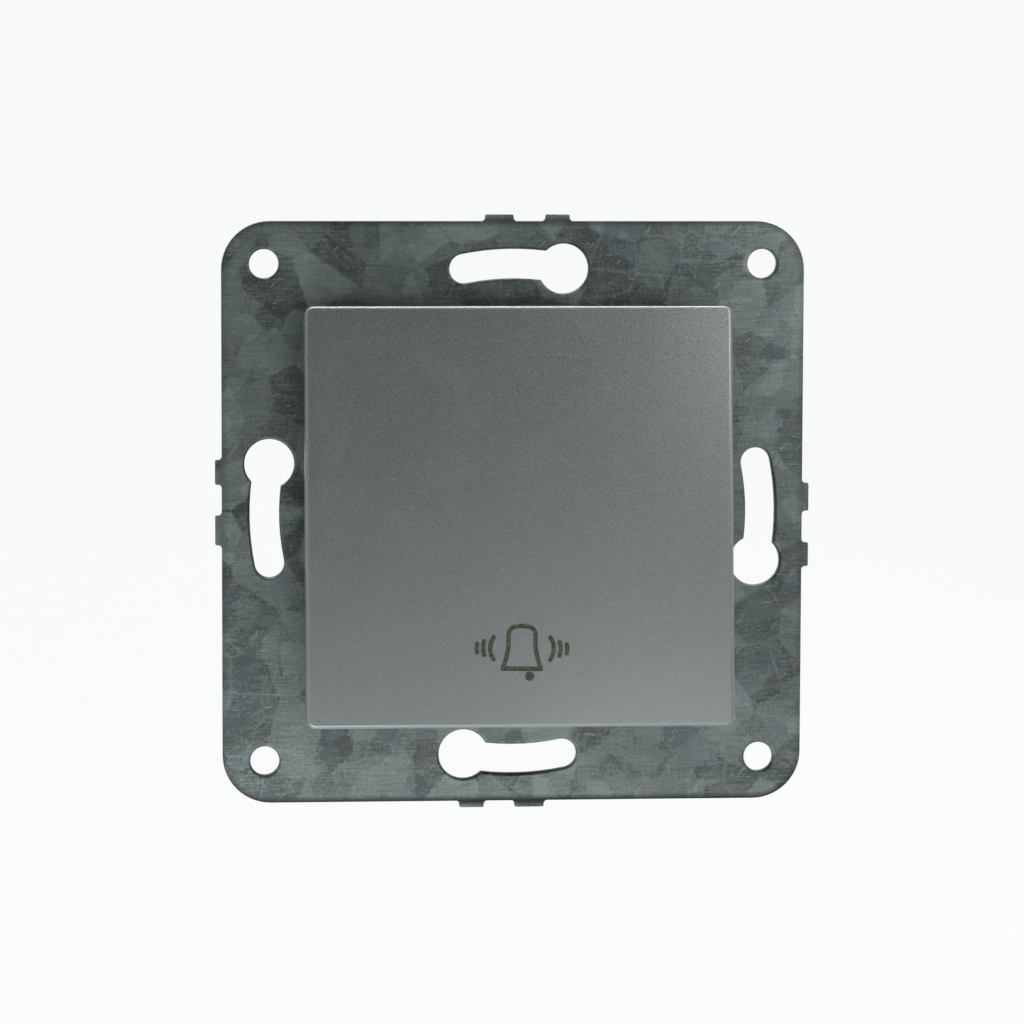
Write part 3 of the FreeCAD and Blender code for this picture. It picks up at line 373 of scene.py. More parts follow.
@dataclass(frozen=True)
class GalvanisedSteel(Finish):
    """Zinc on rolled sheet: soft clouds, scattered crystals and fine crossed rolling marks.

    The weights are those of the clouds, the lines, the upright lines and the speckle.
    """

    dark: Colour = (0.036, 0.047, 0.045)
    light: Colour = (0.164, 0.199, 0.190)
    blue: Colour = (0.078, 0.104, 0.112)
    olive: Colour = (0.104, 0.114, 0.084)
    metal: float = 0.55
    cloud: float = 8.0
    speckle: float = 0.32
    wobble: float = 0.5
    middle: float = 0.49
    weights: tuple[float, ...] = (0.95, 1.0, 0.42, 0.80)
    sizes: tuple[CrystalSize, ...] = (CrystalSize(5.6, 0.42, 0.72, 0.26),
                                      CrystalSize(2.9, 0.28, 0.78, 0.17))
    scratch: float = 0.6
    half_side: float = 35.1
    corner: float = 5.8
    # Painted shade on the plate: the width of the band along the outline, its depth at the bottom,
    # the sides and the top, and the factor on upward-facing lips.
    painted_shade_band: float = 0.9
    painted_shade_bottom: float = 0.05
    painted_shade_side: float = 0.75
    painted_shade_top: float = 0.4
    painted_lip_shade: float = 0.5

    def build(self, effects: Effects) -> Material:
        """Makes the material.

        Args:
            effects: the shared effects.

        Returns:
            The material.
        """
        material, graph, shader = self.open(Metallic=self.metal)
        place = graph.millimetres()
        bend = graph.noise(place, 0.9, detail=3.0, roughness=0.6)
        bent = graph.add("VectorMath", bend.outputs["Color"], (self.wobble, 0.0, self.wobble),
                         place, operation="MULTIPLY_ADD").outputs[0]
        marks = graph.group(effects.rolling, Vector=place, Line_Size=0.20, Line_Length=3.6)
        upright = graph.group(effects.rolling, Vector=graph.millimetres(turn=(0.0, 90.0, 0.0)),
                              Line_Size=0.22, Line_Length=3.0)
        slanted = graph.group(effects.rolling, Vector=graph.millimetres(turn=(0.0, 52.0, 0.0)),
                              Line_Size=0.3, Line_Length=7.0)
        clouds = graph.noise(graph.stretched(place, (1.0, 1.0, 1.35)), self.cloud, detail=6.0,
                             roughness=0.68)
        speckle = graph.noise(place, self.speckle, detail=2.0, roughness=0.6)
        patterns = (clouds.outputs[0], marks.outputs["Lines"], upright.outputs["Lines"],
                    speckle.outputs[0])
        tone: object = self.middle - sum(self.weights) / 2
        for pattern, weight in zip(patterns, self.weights):
            tone = graph.maths("MULTIPLY_ADD", pattern, weight, tone)
        for crystal in self.sizes:
            level, hue = self.crystals(graph, bent, place, crystal)
            tone = graph.maths("MULTIPLY_ADD", level, crystal.weight, tone)
        colour = graph.blend(graph.spread(tone, 0.08, 0.92), self.dark, self.light)
        cast = graph.noise(graph.stretched(place, (0.8, 1.0, 1.3)), 3.2, detail=4.0, roughness=0.7)
        colour = graph.blend(graph.spread(cast.outputs[0], 0.50, 0.68, 0.0, 0.5), colour, self.olive)
        colour = graph.blend(graph.spread(hue, 0.55, 0.95, 0.0, 0.35), colour, self.blue)
        scratches = graph.maths("MAXIMUM", marks.outputs["Scratches"],
                                graph.maths("MULTIPLY", slanted.outputs["Scratches"], 0.9))
        colour = graph.blend(graph.maths("MULTIPLY", scratches, self.scratch), colour, self.light)
        # The colour is darkened by painted shade along the outline and on the lips that face upwards.
        graph.fill(shader, Base_Color=graph.scaled(colour, self.painted_edge_shade(graph)),
                   Roughness=graph.spread(tone, 0.1, 0.9, 0.40, 0.54),
                   Normal=graph.bump(tone, 0.02, 0.3, graph.bump(marks.outputs["Lines"], 0.006, 0.5)))
        return material

    def crystals(self, graph: Graph, bent: object, place: object,
                 crystal: CrystalSize) -> tuple[Socket, Socket]:
        """Scattered zinc crystals with soft borders and streaks of their own.

        Args:
            graph: the material's graph.
            bent: coordinates with a slight bend.
            place: plain coordinates.
            crystal: the size and shares of the crystals.

        Returns:
            The crystals' tone, from -1 to 1, and a number for each of them.
        """
        cells = graph.cells(bent, crystal.size)
        border = graph.cells(bent, crystal.size, feature="DISTANCE_TO_EDGE")
        numbers = graph.add("SeparateColor", cells.outputs["Color"]).outputs
        dark = graph.spread(numbers[0], crystal.dark - 0.10, crystal.dark, -1.0, 0.0)
        light = graph.spread(numbers[0], crystal.plain, crystal.plain + 0.12)
        inner = graph.spread(border.outputs["Distance"], 0.0, 0.035, smooth=True)
        streaks = graph.maths("MULTIPLY_ADD", self.feathers(graph, place, numbers[1]), 2.8, 1.0)
        return graph.product(graph.maths("ADD", dark, light), inner, streaks), numbers[2]

    @staticmethod
    def feathers(graph: Graph, place: object, seed: object) -> Socket:
        """Streaks inside the crystals, which lie in another direction in each.

        Args:
            graph: the material's graph.
            place: coordinates in millimetres.
            seed: a number for each crystal.

        Returns:
            The streaks, about zero.
        """
        turn = graph.fill(graph.add("VectorRotate", rotation_type="AXIS_ANGLE"), Vector=place,
                          Axis=(0.0, 1.0, 0.0), Angle=graph.maths("MULTIPLY", seed, math.pi))
        streaks = graph.noise(graph.stretched(turn.outputs[0], (0.4, 1.0, 2.6)), 1.0, detail=4.0)
        return graph.maths("SUBTRACT", streaks.outputs[0], 0.5)

    def painted_edge_shade(self, graph: Graph) -> Socket:
        """Painted shade along the outline, deepest along the bottom edge, and on the cut edges'
        upward-facing lips.

        Args:
            graph: the material's graph.

        Returns:
            The factor for the colour.
        """
        parts = graph.add("SeparateXYZ", graph.millimetres())
        bend = self.half_side - self.corner
        past = [graph.maths("MAXIMUM", graph.maths(
            "SUBTRACT", graph.maths("ABSOLUTE", parts.outputs[axis]), bend), 0.0)
            for axis in ("X", "Z")]
        inside = graph.maths("SUBTRACT", self.corner, graph.maths("SQRT", graph.squares(*past)))
        # The outline's painted shade is deepest along the bottom edge and lightest along the sides.
        upward = parts.outputs["Z"]
        deepest = graph.maths(
            "MINIMUM", graph.spread(upward, -self.half_side, -bend, self.painted_shade_bottom, self.painted_shade_side),
            graph.spread(upward, bend, self.half_side, self.painted_shade_side, self.painted_shade_top))
        outline = graph.spread(graph.maths("ABSOLUTE", inside), 0.0, self.painted_shade_band, deepest, smooth=True)
        # Lips that face upwards get painted shade.
        facing = graph.add("SeparateXYZ", graph.add("TexCoord").outputs["Normal"])
        lips = graph.spread(facing.outputs["Z"], 0.1, 0.8, 1.0, self.painted_lip_shade)
        return graph.maths("MULTIPLY", outline, lips)


@dataclass(frozen=True)
class KeyLacquer(Finish):
    """Silver-grey lacquer with fine flakes, and the tint in the engraved symbol.

    The flakes' contrast is given at the lower and the upper edge, and gloss and roughness on the face
    and in the grooves. The contrast's rise towards the top is painted light: lower down, where more
    light is mirrored, the flakes show less.
    """

    shade: Colour = (0.150, 0.167, 0.164)
    groove: Colour = (0.040, 0.044, 0.030)
    groove_light: Colour = (0.088, 0.090, 0.062)
    flake: float = 0.22
    # Flake contrast at the bottom and at the top; the difference between them is painted light.
    flake_contrast_with_painted_sheen: tuple[float, float] = (0.09, 0.30)
    gloss: tuple[float, float] = (0.7, 0.15)
    roughness: tuple[float, float] = (0.40, 0.75)
    crown: float = 0.9
    half_side: float = 25.0
    tilt: float = 6.4
    pivot_height: float = 5.5
    face_height: float = 5.1
    symbol_reach: float = 7.5
    symbol_span: tuple[float, float] = (-21.5, -10.5)

    def build(self, effects: Effects) -> Material:
        """Makes the material.

        Args:
            effects: the shared effects.

        Returns:
            The material.
        """
        material, graph, shader = self.open(Metallic=0.4, Coat_Roughness=0.16, Coat_IOR=1.5)
        place = graph.millimetres()
        flakes = graph.noise(place, self.flake, detail=2.0, roughness=0.7)
        clouds = graph.noise(place, 3.0, detail=4.0, roughness=0.6)
        upward = graph.add("SeparateXYZ", place).outputs["Z"]
        # Painted light: the flakes' contrast rises from the bottom to the top, as mirrored light
        # hides them lower down.
        painted_sheen_flake_contrast = graph.spread(upward, -self.half_side, self.half_side, *self.flake_contrast_with_painted_sheen)
        level = graph.maths("MULTIPLY_ADD", graph.spread(flakes.outputs[0], 0.3, 0.7, -1.0, 1.0),
                            painted_sheen_flake_contrast, graph.spread(clouds.outputs[0], 0.3, 0.7, 0.985, 1.015))
        groove = self.groove_mask(graph)
        dirt = graph.noise(place, 0.4, detail=2.0)
        tint = graph.blend(graph.spread(dirt.outputs[0], 0.4, 0.65), self.groove, self.groove_light)
        handled = graph.group(effects.handling, Vector=place, Amount=0.06)
        grain = graph.group(effects.grain, Vector=place, Size=0.16)
        crowned = graph.bump(self.crown_height(graph), self.crown)
        graph.fill(shader, Base_Color=graph.blend(groove, graph.scaled(self.shade, level), tint),
                   Coat_Weight=graph.spread(groove, 0.0, 1.0, *self.gloss),
                   Roughness=graph.maths("ADD", graph.spread(groove, 0.0, 1.0, *self.roughness),
                                         handled.outputs["Smear"]),
                   Normal=graph.bump(grain.outputs["Height"], 0.012, 0.35, crowned))
        return material

    def crown_height(self, graph: Graph) -> Socket:
        """The key face's slight crown: 1 in its middle, falling to 0 and below at its edges."""
        parts = graph.add("SeparateXYZ", graph.millimetres(stretch=(1 / self.half_side,) * 3))
        return graph.maths("SUBTRACT", 1.0, graph.squares(parts.outputs["X"], parts.outputs["Z"]))

    def groove_mask(self, graph: Graph) -> Socket:
        """Where the surface lies below the key's face, in the part that holds the symbol.

        Args:
            graph: the material's graph.

        Returns:
            1 in the grooves and 0 elsewhere.
        """
        parts = graph.add("SeparateXYZ", graph.millimetres())
        lean = math.radians(self.tilt)
        outward = graph.maths("MULTIPLY_ADD", parts.outputs["Y"], -math.cos(lean),
                              -self.pivot_height * math.cos(lean))
        height = graph.maths("MULTIPLY_ADD", parts.outputs["Z"], math.sin(lean), outward)
        sunk = graph.spread(height, self.face_height - 0.02, self.face_height - 0.004, 1.0, 0.0)
        below_face = graph.spread(height, self.face_height - 0.4, self.face_height - 0.3)
        aside = graph.maths("ABSOLUTE", parts.outputs["X"])
        near = graph.maths("LESS_THAN", aside, self.symbol_reach)
        above = graph.maths("GREATER_THAN", parts.outputs["Z"], self.symbol_span[0])
        under = graph.maths("LESS_THAN", parts.outputs["Z"], self.symbol_span[1])
        return graph.product(near, above, under, sunk, below_face)


@dataclass(frozen=True)
class MouldedPlastic(Finish):
    """Spark-eroded moulded plastic with slight clouding."""

    shade: Colour = (0.55, 0.55, 0.52)
    clouding: float = 0.93
    dust: float = 0.80
    gloss: float = 0.42
    grain: float = 0.18

    def build(self, effects: Effects) -> Material:
        """Makes the material.

        Args:
            effects: the shared effects.

        Returns:
            The material.
        """
        material, graph, shader = self.open(Specular_IOR_Level=0.45)
        place = graph.millimetres()
        grain = graph.group(effects.grain, Vector=place, Size=self.grain)
        tone = grain.outputs["Tone"]
        soft = graph.blend(tone, dimmed(self.shade, self.clouding), self.shade)
        marks = graph.group(effects.handling, Vector=place, Amount=0.18)
        dusty = graph.blend(marks.outputs["Smear"], soft, dimmed(self.shade, self.dust))
        graph.fill(shader, Base_Color=dusty,
                   Roughness=graph.spread(tone, 0.0, 1.0, self.gloss, self.gloss + 0.1),
                   Normal=graph.bump(grain.outputs["Height"], 0.01, 0.4))
        return material


@dataclass(frozen=True)
class DrawnMetal(Finish):
    """Bright metal with drawing or rolling lines and a little tarnish."""

    shade: Colour = (0.60, 0.60, 0.58)
    tarnish: Colour = (0.35, 0.34, 0.31)
    gloss: float = 0.28
    line: float = 0.08
    length: float = 3.0
    spots: float = 2.2
    turn: Point = (0.0, 0.0, 0.0)

    def build(self, effects: Effects) -> Material:
        """Makes the material.

        Args:
            effects: the shared effects.

        Returns:
            The material.
        """
        material, graph, shader = self.open(Metallic=1.0)
        place = graph.millimetres(turn=self.turn)
        lines = graph.group(effects.rolling, Vector=place, Line_Size=self.line,
                            Line_Length=self.length).outputs["Lines"]
        stain = graph.noise(place, self.spots, detail=4.0, roughness=0.65, distortion=0.6)
        stained = graph.spread(stain.outputs[0], 0.44, 0.72, 0.0, 0.75, smooth=True)
        colour = graph.blend(stained, self.shade, self.tarnish)
        colour = graph.blend(graph.spread(lines, 0.3, 0.7, 0.0, 0.35), colour, self.tarnish)
        graph.fill(shader, Base_Color=colour,
                   Roughness=graph.spread(lines, 0.25, 0.75, self.gloss, self.gloss + 0.16),
                   Normal=graph.bump(lines, 0.004, 0.4))
        return material


@dataclass(frozen=True)
class StagePaint(Finish):
    """White that the camera and reflections see as a plain background, with a faint shadow."""

    shade: Colour = (0.957, 0.965, 0.981)
    paint: Colour = (0.84, 0.86, 0.90)
    mottle: float = 0.985
    glow: float = 0.97

    def build(self) -> Material:
        """Makes the material.

        Returns:
            The material.
        """
        material, graph, shader = self.open()
        nodes = material.node_tree.nodes
        nodes.remove(shader)
        patches = graph.noise(graph.millimetres(), 60.0, detail=3.0)
        matt = graph.add("BsdfDiffuse", graph.blend(graph.spread(patches.outputs[0], 0.3, 0.7),
                                                    dimmed(self.paint, self.mottle), self.paint))
        light = graph.add("Emission", self.shade)
        mix = graph.add("MixShader", graph.maths("MULTIPLY", graph.seen(), self.glow),
                        matt.outputs[0], light.outputs[0])
        graph.feed(nodes["Material Output"].inputs["Surface"], mix.outputs[0])
        return material


class Bench:
    """The modelling steps that the pieces share."""

    @staticmethod
    def clear() -> None:
        """Deselects everything."""
        if bpy.context.object and bpy.context.object.mode != "OBJECT":
            bpy.ops.object.mode_set(mode="OBJECT")
        bpy.ops.object.select_all(action="DESELECT")

    @classmethod
    def pick(cls, *pieces: Piece) -> Piece:
        """Selects pieces and makes the first one active.

        Args:
            pieces: the pieces.

        Returns:
            The first piece.
        """
        cls.clear()
        for piece in pieces:
            piece.select_set(True)
        bpy.context.view_layer.objects.active = pieces[0]
        return pieces[0]

    @classmethod
    def profile(cls, name: str, start: float, corners: list[tuple[float, float]]) -> Piece:
        """Draws a line of corners in the XY plane, by extruding one point.

        Args:
            name: the new object's name.
            start: where the object's origin lies on the Y axis, in millimetres.
            corners: distance from the axis and place along it, in millimetres.

        Returns:
            The object, with its line.
        """
        cls.clear()
        bpy.ops.mesh.primitive_plane_add(size=MM, location=(0.0, start * MM, 0.0))
        piece = bpy.context.object
        piece.name = name
        bpy.ops.object.mode_set(mode="EDIT")
        bpy.ops.mesh.select_mode(type="VERT")
        bpy.ops.mesh.merge(type="CENTER")
        bpy.ops.transform.translate(value=(corners[0][0] * MM, corners[0][1] * MM, 0.0))
        for before, after in zip(corners, corners[1:]):
            step = ((after[0] - before[0]) * MM, (after[1] - before[1]) * MM, 0.0)
            bpy.ops.mesh.extrude_region_move(TRANSFORM_OT_translate={"value": step})
        bpy.ops.object.mode_set(mode="OBJECT")
        return piece

    @classmethod
    def sweep(cls, piece: Piece, turns: float, rise: float, steps: int) -> None:
        """Turns a profile about the Y axis through the object's origin.

        Args:
            piece: the profile.
            turns: how many whole turns.
            rise: how far one turn moves along Y, in millimetres.
            steps: steps in one turn.
        """
        cls.pick(piece)
        screw = piece.modifiers.new("turn", "SCREW")
        screw.axis = "Y"
        whole = max(1, round(turns))
        screw.angle = math.tau * turns / whole
        screw.screw_offset = rise * MM * turns / whole
        screw.iterations = whole
        screw.steps = steps
        screw.render_steps = steps
        screw.use_merge_vertices = True
        screw.merge_threshold = NEAR
        bpy.ops.object.modifier_apply(modifier=screw.name)
        bpy.ops.object.mode_set(mode="EDIT")
        bpy.ops.mesh.select_all(action="SELECT")
        bpy.ops.mesh.remove_doubles(threshold=NEAR)
        bpy.ops.mesh.select_all(action="SELECT")
        bpy.ops.mesh.normals_make_consistent(inside=False)
        bpy.ops.object.mode_set(mode="OBJECT")

    @classmethod
    def trim(cls, piece: Piece, place: Point, normal: Point) -> None:
        """Cuts away what lies beyond a plane and closes the cut.

        Args:
            piece: the mesh.
            place: a point of the plane, in millimetres.
            normal: the plane's normal, which points at the part that goes.
        """
        cls.pick(piece)
        bpy.ops.object.mode_set(mode="EDIT")
        bpy.ops.mesh.select_all(action="SELECT")
        bpy.ops.mesh.bisect(plane_co=tuple(part * MM for part in place), plane_no=normal,
                            use_fill=True, clear_outer=True, threshold=NEAR)
        bpy.ops.object.mode_set(mode="OBJECT")

    @classmethod
    def join(cls, *pieces: Piece) -> Piece:
        """Joins pieces into the first.

        Args:
            pieces: the pieces.

        Returns:
            The joined piece.
        """
        whole = cls.pick(*pieces)
        bpy.ops.object.join()
        return whole

    @classmethod
    def carve(cls, piece: Piece, tool: Piece) -> None:
        """Cuts a tool's form out of a piece and deletes the tool.

        Args:
            piece: the mesh that is cut.
            tool: the mesh that cuts.
        """
        cls.pick(piece)
        cut = piece.modifiers.new("cut", "BOOLEAN")
        cut.operation = "DIFFERENCE"
        cut.solver = "EXACT"
        cut.object = tool
        bpy.ops.object.modifier_apply(modifier=cut.name)
        bpy.data.objects.remove(tool)

    @staticmethod
    def bevel(piece: Piece, width: float, angle: float, segments: int) -> bpy.types.Modifier:
        """Adds a bevel to a piece's sharp edges.

        Args:
            piece: the piece.
            width: width of the bevel in millimetres.
            angle: edges sharper than this are bevelled, in degrees.
            segments: faces across the bevel.

        Returns:
            The modifier.
        """
        bevel = piece.modifiers.new("edge", "BEVEL")
        bevel.width = width * MM
        bevel.segments = segments
        bevel.limit_method = "ANGLE"
        bevel.angle_limit = math.radians(angle)
        return bevel

    @classmethod
    def settle(cls, piece: Piece, angle: float = 40.0) -> Piece:
        """Puts a piece's place into its mesh and smooths it.

        Args:
            piece: the piece.
            angle: edges up to this angle are shaded smooth, in degrees.

        Returns:
            The piece.
        """
        cls.pick(piece)
        bpy.ops.object.transform_apply(location=True, rotation=True, scale=True)
        bpy.ops.object.shade_smooth_by_angle(angle=math.radians(angle))
        return piece


class Dressing:
    """Gives CAD nodes and new pieces their finish and their body."""

    def __init__(self, finishes: dict[str, Material]) -> None:
        """Keeps the materials by the record's slot names."""
        self.finishes = finishes

    def paint(self, piece: Piece, slot: str) -> None:
        """Gives a piece the finish of one slot all over."""
        piece.data.materials.clear()
        piece.data.materials.append(self.finishes[slot])

    def dress(self, nodes: dict[str, str], rounding: float = 0.0) -> None:
        """Gives CAD nodes their finishes and rounded edges.

        Args:
            nodes: slot names by node name.
            rounding: width of the rounding in millimetres, or 0 for none.
        """
        for node, slot in nodes.items():
            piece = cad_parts[node]
            self.paint(piece, slot)
            if rounding > 0:
                weld = piece.modifiers.new("weld", "WELD")
                weld.merge_threshold = NEAR
                bevel = Bench.bevel(piece, rounding, angle=40.0, segments=2)
                bevel.use_clamp_overlap = False
                bevel.harden_normals = True
            log.info("dressed %s with %s", node, slot)

    def place(self, piece: Piece, node: str, body: str, slot: str) -> None:
        """Puts a new piece in the place of a CAD node.

        Args:
            piece: the new piece.
            node: the node that it replaces.
            body: the body that it rides on.
            slot: the slot that its finish comes from.
        """
        self.paint(piece, slot)
        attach(piece, body)
        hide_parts(node)
        log.info("placed %s, %d faces", piece.name, len(piece.data.polygons))


@dataclass
class CoilSpring:
    """A coil spring along Y with closed ends, ground off by a share of the wire. Millimetres."""

    name: str
    node: str
    joint: str
    x: float
    z: float
    front: float
    back: float
    radius: float
    wire: float
    turns: float
    keep: float
    steps: int = 28
    wire_sides: int = 10
    ground: float = 0.3

    def ring(self, y: float) -> Piece:
        """A closed end turn.

        Args:
            y: where its middle lies.

        Returns:
            The ring.
        """
        Bench.clear()
        bpy.ops.mesh.primitive_torus_add(
            location=(self.x * MM, y * MM, self.z * MM), rotation=(math.pi / 2, 0.0, 0.0),
            major_segments=self.steps, minor_segments=self.wire_sides,
            major_radius=(self.radius - self.wire / 2) * MM, minor_radius=self.wire / 2 * MM)
        return bpy.context.object

    def build(self, dressing: Dressing) -> Piece:
        """Winds the spring and puts it in the node's place.

        Args:
            dressing: the finishes.

        Returns:
            The spring.
        """
        Bench.clear()
        inset = self.wire * self.ground
        first, last = self.front + inset, self.back - inset
        bpy.ops.mesh.primitive_circle_add(vertices=self.wire_sides, radius=self.wire / 2 * MM,
                                          location=(self.x * MM, first * MM, self.z * MM))
        coil = bpy.context.object
        coil.name = self.name
        bpy.ops.object.mode_set(mode="EDIT")
        bpy.ops.transform.translate(value=((self.radius - self.wire / 2) * MM, 0.0, 0.0))
        bpy.ops.object.mode_set(mode="OBJECT")
        Bench.sweep(coil, self.turns, (last - first) / self.turns, self.steps)
        bpy.ops.object.mode_set(mode="EDIT")
        bpy.ops.mesh.select_all(action="DESELECT")
        bpy.ops.mesh.select_mode(type="EDGE")
        bpy.ops.mesh.select_non_manifold()
        bpy.ops.mesh.edge_face_add()
        bpy.ops.object.mode_set(mode="OBJECT")
        spring = Bench.join(coil, self.ring(first), self.ring(last))
        Bench.settle(spring, 60.0)
        Bench.trim(spring, (self.x, self.front, self.z), (0.0, -1.0, 0.0))
        Bench.trim(spring, (self.x, self.back, self.z), (0.0, 1.0, 0.0))
        dressing.place(spring, self.node, "insert", "spring_steel")
        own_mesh(spring)
        return spring


@dataclass
class SlottedScrew:
    """A screw with a chamfered, slotted head and a cut thread, drawn along +Y from its head.

    Its node and its body have the same name. Sizes are in millimetres.
    """

    name: str
    node: str
    radius: float
    pitch: float
    length: float
    head_radius: float
    head_height: float
    slot: str = "zinc_plated_screw"
    cut_width: float = 0.8
    cut_depth: float = 1.0
    cross_width: float = 0.64
    cross_depth: float = 0.75
    chamfer: float = 0.16
    dish: float = 0.1
    edge: float = 0.05
    overlap: float = 0.02
    steps: int = 24

    def head(self) -> Piece:
        """The head, whose underside lies at y = 0.

        Returns:
            The head.
        """
        chamfer = self.head_height * self.chamfer
        dish = self.head_height * self.dish
        corners = [(0.0, -self.head_height + dish), (self.head_radius * 0.55, -self.head_height),
                   (self.head_radius - chamfer * 2.2, -self.head_height),
                   (self.head_radius, -self.head_height + chamfer * 1.6),
                   (self.head_radius, -chamfer * 0.5), (self.head_radius - chamfer * 0.5, 0.0),
                   (0.0, 0.0)]
        head = Bench.profile(self.name + "_head", 0.0, corners)
        Bench.sweep(head, 1.0, 0.0, 40)
        for turn, reach, width, depth in ((0.0, 2.2, self.cut_width, self.cut_depth),
                                          (math.pi / 2, 1.15, self.cross_width, self.cross_depth)):
            Bench.clear()
            bpy.ops.mesh.primitive_cube_add(
                size=1.0, location=(0.0, (-self.head_height - 1.0 + depth) * MM, 0.0),
                rotation=(0.0, turn, 0.0),
                scale=(reach * self.head_radius * MM, 2.0 * MM, width * MM))
            tool = bpy.context.object
            bpy.ops.object.transform_apply(location=False, rotation=True, scale=True)
            Bench.carve(head, tool)
        edge = Bench.bevel(Bench.pick(head), self.edge, angle=35.0, segments=1)
        bpy.ops.object.modifier_apply(modifier=edge.name)
        return head

    def shank(self) -> Piece:
        """The threaded shank, cut flat at its tip.

        Returns:
            The shank.
        """
        root = self.radius - self.pitch * 0.55
        tooth = [(root, 0.0), (self.radius, self.pitch * 0.40), (self.radius, self.pitch * 0.55),
                 (root, self.pitch * 0.95), (root, self.pitch)]
        thread = Bench.profile(self.name, -self.pitch, tooth)
        turns = math.ceil(self.length / self.pitch) + 2
        Bench.sweep(thread, turns, self.pitch, self.steps)
        Bench.settle(thread, 30.0)
        Bench.trim(thread, (0.0, -self.overlap, 0.0), (0.0, -1.0, 0.0))
        Bench.trim(thread, (0.0, self.length, 0.0), (0.0, 1.0, 0.0))
        return thread

    def build(self, dressing: Dressing, place: Matrix) -> Piece:
        """Makes the screw and puts it in the node's place.

        Args:
            dressing: the finishes.
            place: where the screw goes.

        Returns:
            The screw.
        """
        screw = Bench.join(self.shank(), self.head())
        screw.name = self.name
        screw.matrix_world = place
        Bench.settle(screw, 30.0)
        dressing.place(screw, self.node, self.node, self.slot)
        return screw


@dataclass
class KeyAssembly:
    """The key with its lacquer, and the rocker behind it with the springs."""

    spring_x: float = 6.0
    spring_z: float = -11.0
    spring_radius: float = 2.3
    spring_wire: float = 0.5
    spring_front: float = -8.30
    spring_back: float = -1.2
    spring_turns: float = 5.0
    spring_press: float = 0.98

    def build(self, dressing: Dressing) -> None:
        """Dresses the key and the rocker, and winds the return springs.

        Args:
            dressing: the finishes.
        """
        dressing.dress({"key_cap": "key_lacquer"})
        dressing.dress({"rocker": "carrier_plastic"}, rounding=0.12)
        length = self.spring_back - self.spring_front
        for side in Side:
            CoilSpring(
                name="coil_return_" + side.label, node="return_spring_" + side.label,
                joint="key_press", x=side.value * self.spring_x, z=self.spring_z,
                front=self.spring_front, back=self.spring_back, radius=self.spring_radius,
                wire=self.spring_wire, turns=self.spring_turns,
                keep=(length - self.spring_press) / length).build(dressing)


@dataclass
class Carcass:
    """The plate, the bearing frame, the housing and its cover."""

    plastic_rounding: float = 0.15

    def build(self, dressing: Dressing) -> None:
        """Dresses the fixed parts."""
        dressing.dress({"mounting_plate": "galvanised_steel"})
        dressing.dress({"bearing_frame": "frame_plastic", "housing": "housing_plastic",
                        "rear_cover": "housing_plastic"}, rounding=self.plastic_rounding)


@dataclass
class ContactBlock:
    """The contacts, their spring, and the terminals with their screws."""

    terminal_y: float = 17.5
    head_top: float = 19.3
    head_height: float = 2.0
    head_radius: float = 2.9
    screw_radius: float = 1.70
    screw_pitch: float = 0.6
    screw_length: float = 5.25
    spring_drop: float = -6.0
    spring_front: float = 6.4
    spring_back: float = 10.2
    spring_radius: float = 1.6
    spring_wire: float = 0.35
    spring_turns: float = 4.0
    spring_keep: float = 0.77

    def build(self, dressing: Dressing) -> None:
        """Dresses the contacts and builds the coil and the terminal screws.

        Args:
            dressing: the finishes.
        """
        dressing.dress({"contact_lever": "contact_brass", "common_strip": "contact_brass",
                        "fixed_contact_strip": "contact_brass", "terminal_cage_top": "contact_brass",
                        "terminal_cage_bottom": "contact_brass", "moving_contact": "contact_silver",
                        "fixed_contact": "contact_silver", "lever_pin": "pin_steel"}, rounding=0.06)
        CoilSpring(name="coil_contact", node="contact_spring", joint="contact_swing", x=0.0,
                   z=self.spring_drop, front=self.spring_front, back=self.spring_back,
                   radius=self.spring_radius, wire=self.spring_wire, turns=self.spring_turns,
                   keep=self.spring_keep).build(dressing)
        under = self.head_top - self.head_height
        for end in End:
            turn = Matrix.Rotation(-end.value * math.pi / 2, 4, "X")
            place = Matrix.Translation((0.0, self.terminal_y * MM, end.value * under * MM)) @ turn
            SlottedScrew(
                name="clamp_screw_" + end.label, node="terminal_screw_" + end.label,
                radius=self.screw_radius, pitch=self.screw_pitch, length=self.screw_length,
                head_radius=self.head_radius, head_height=self.head_height).build(dressing, place)


@dataclass
class Claws:
    """The spreader claws with their pins, bridges and screws."""

    screw_x: float = 17.5
    screw_radius: float = 1.5
    screw_pitch: float = 0.5
    screw_length: float = 23.02
    head_radius: float = 2.8
    head_height: float = 2.0
    head_seat: float = -0.05

    def build(self, dressing: Dressing) -> None:
        """Dresses the claws and builds their screws.

        Args:
            dressing: the finishes.
        """
        for side in Side:
            name = side.label
            dressing.dress({"claw_" + name: "claw_steel", "claw_bridge_" + name: "claw_steel",
                            "claw_pin_" + name: "pin_steel"}, rounding=0.08)
            place = Matrix.Translation((side.value * self.screw_x * MM, self.head_seat * MM, 0.0))
            SlottedScrew(
                name="spreader_screw_" + name, node="claw_screw_" + name,
                radius=self.screw_radius, pitch=self.screw_pitch, length=self.screw_length,
                head_radius=self.head_radius, head_height=self.head_height).build(dressing, place)


@dataclass(frozen=True)
class Lamp:
    """A soft rectangular lamp. Metres and watts."""

    name: str
    place: Point
    aim: Point
    size: tuple[float, float]
    power: float

    def hang(self) -> None:
        """Adds the lamp, unseen by the camera."""
        data = bpy.data.lights.new(self.name, "AREA")
        data.shape = "RECTANGLE"
        data.size, data.size_y = self.size
        data.energy = self.power
        lamp = bpy.data.objects.new(self.name, data)
        lamp.location = self.place
        facing = Vector(self.aim) - Vector(self.place)
        lamp.rotation_euler = facing.to_track_quat("-Z", "Y").to_euler()
        lamp.visible_camera = False
        bpy.context.scene.collection.objects.link(lamp)


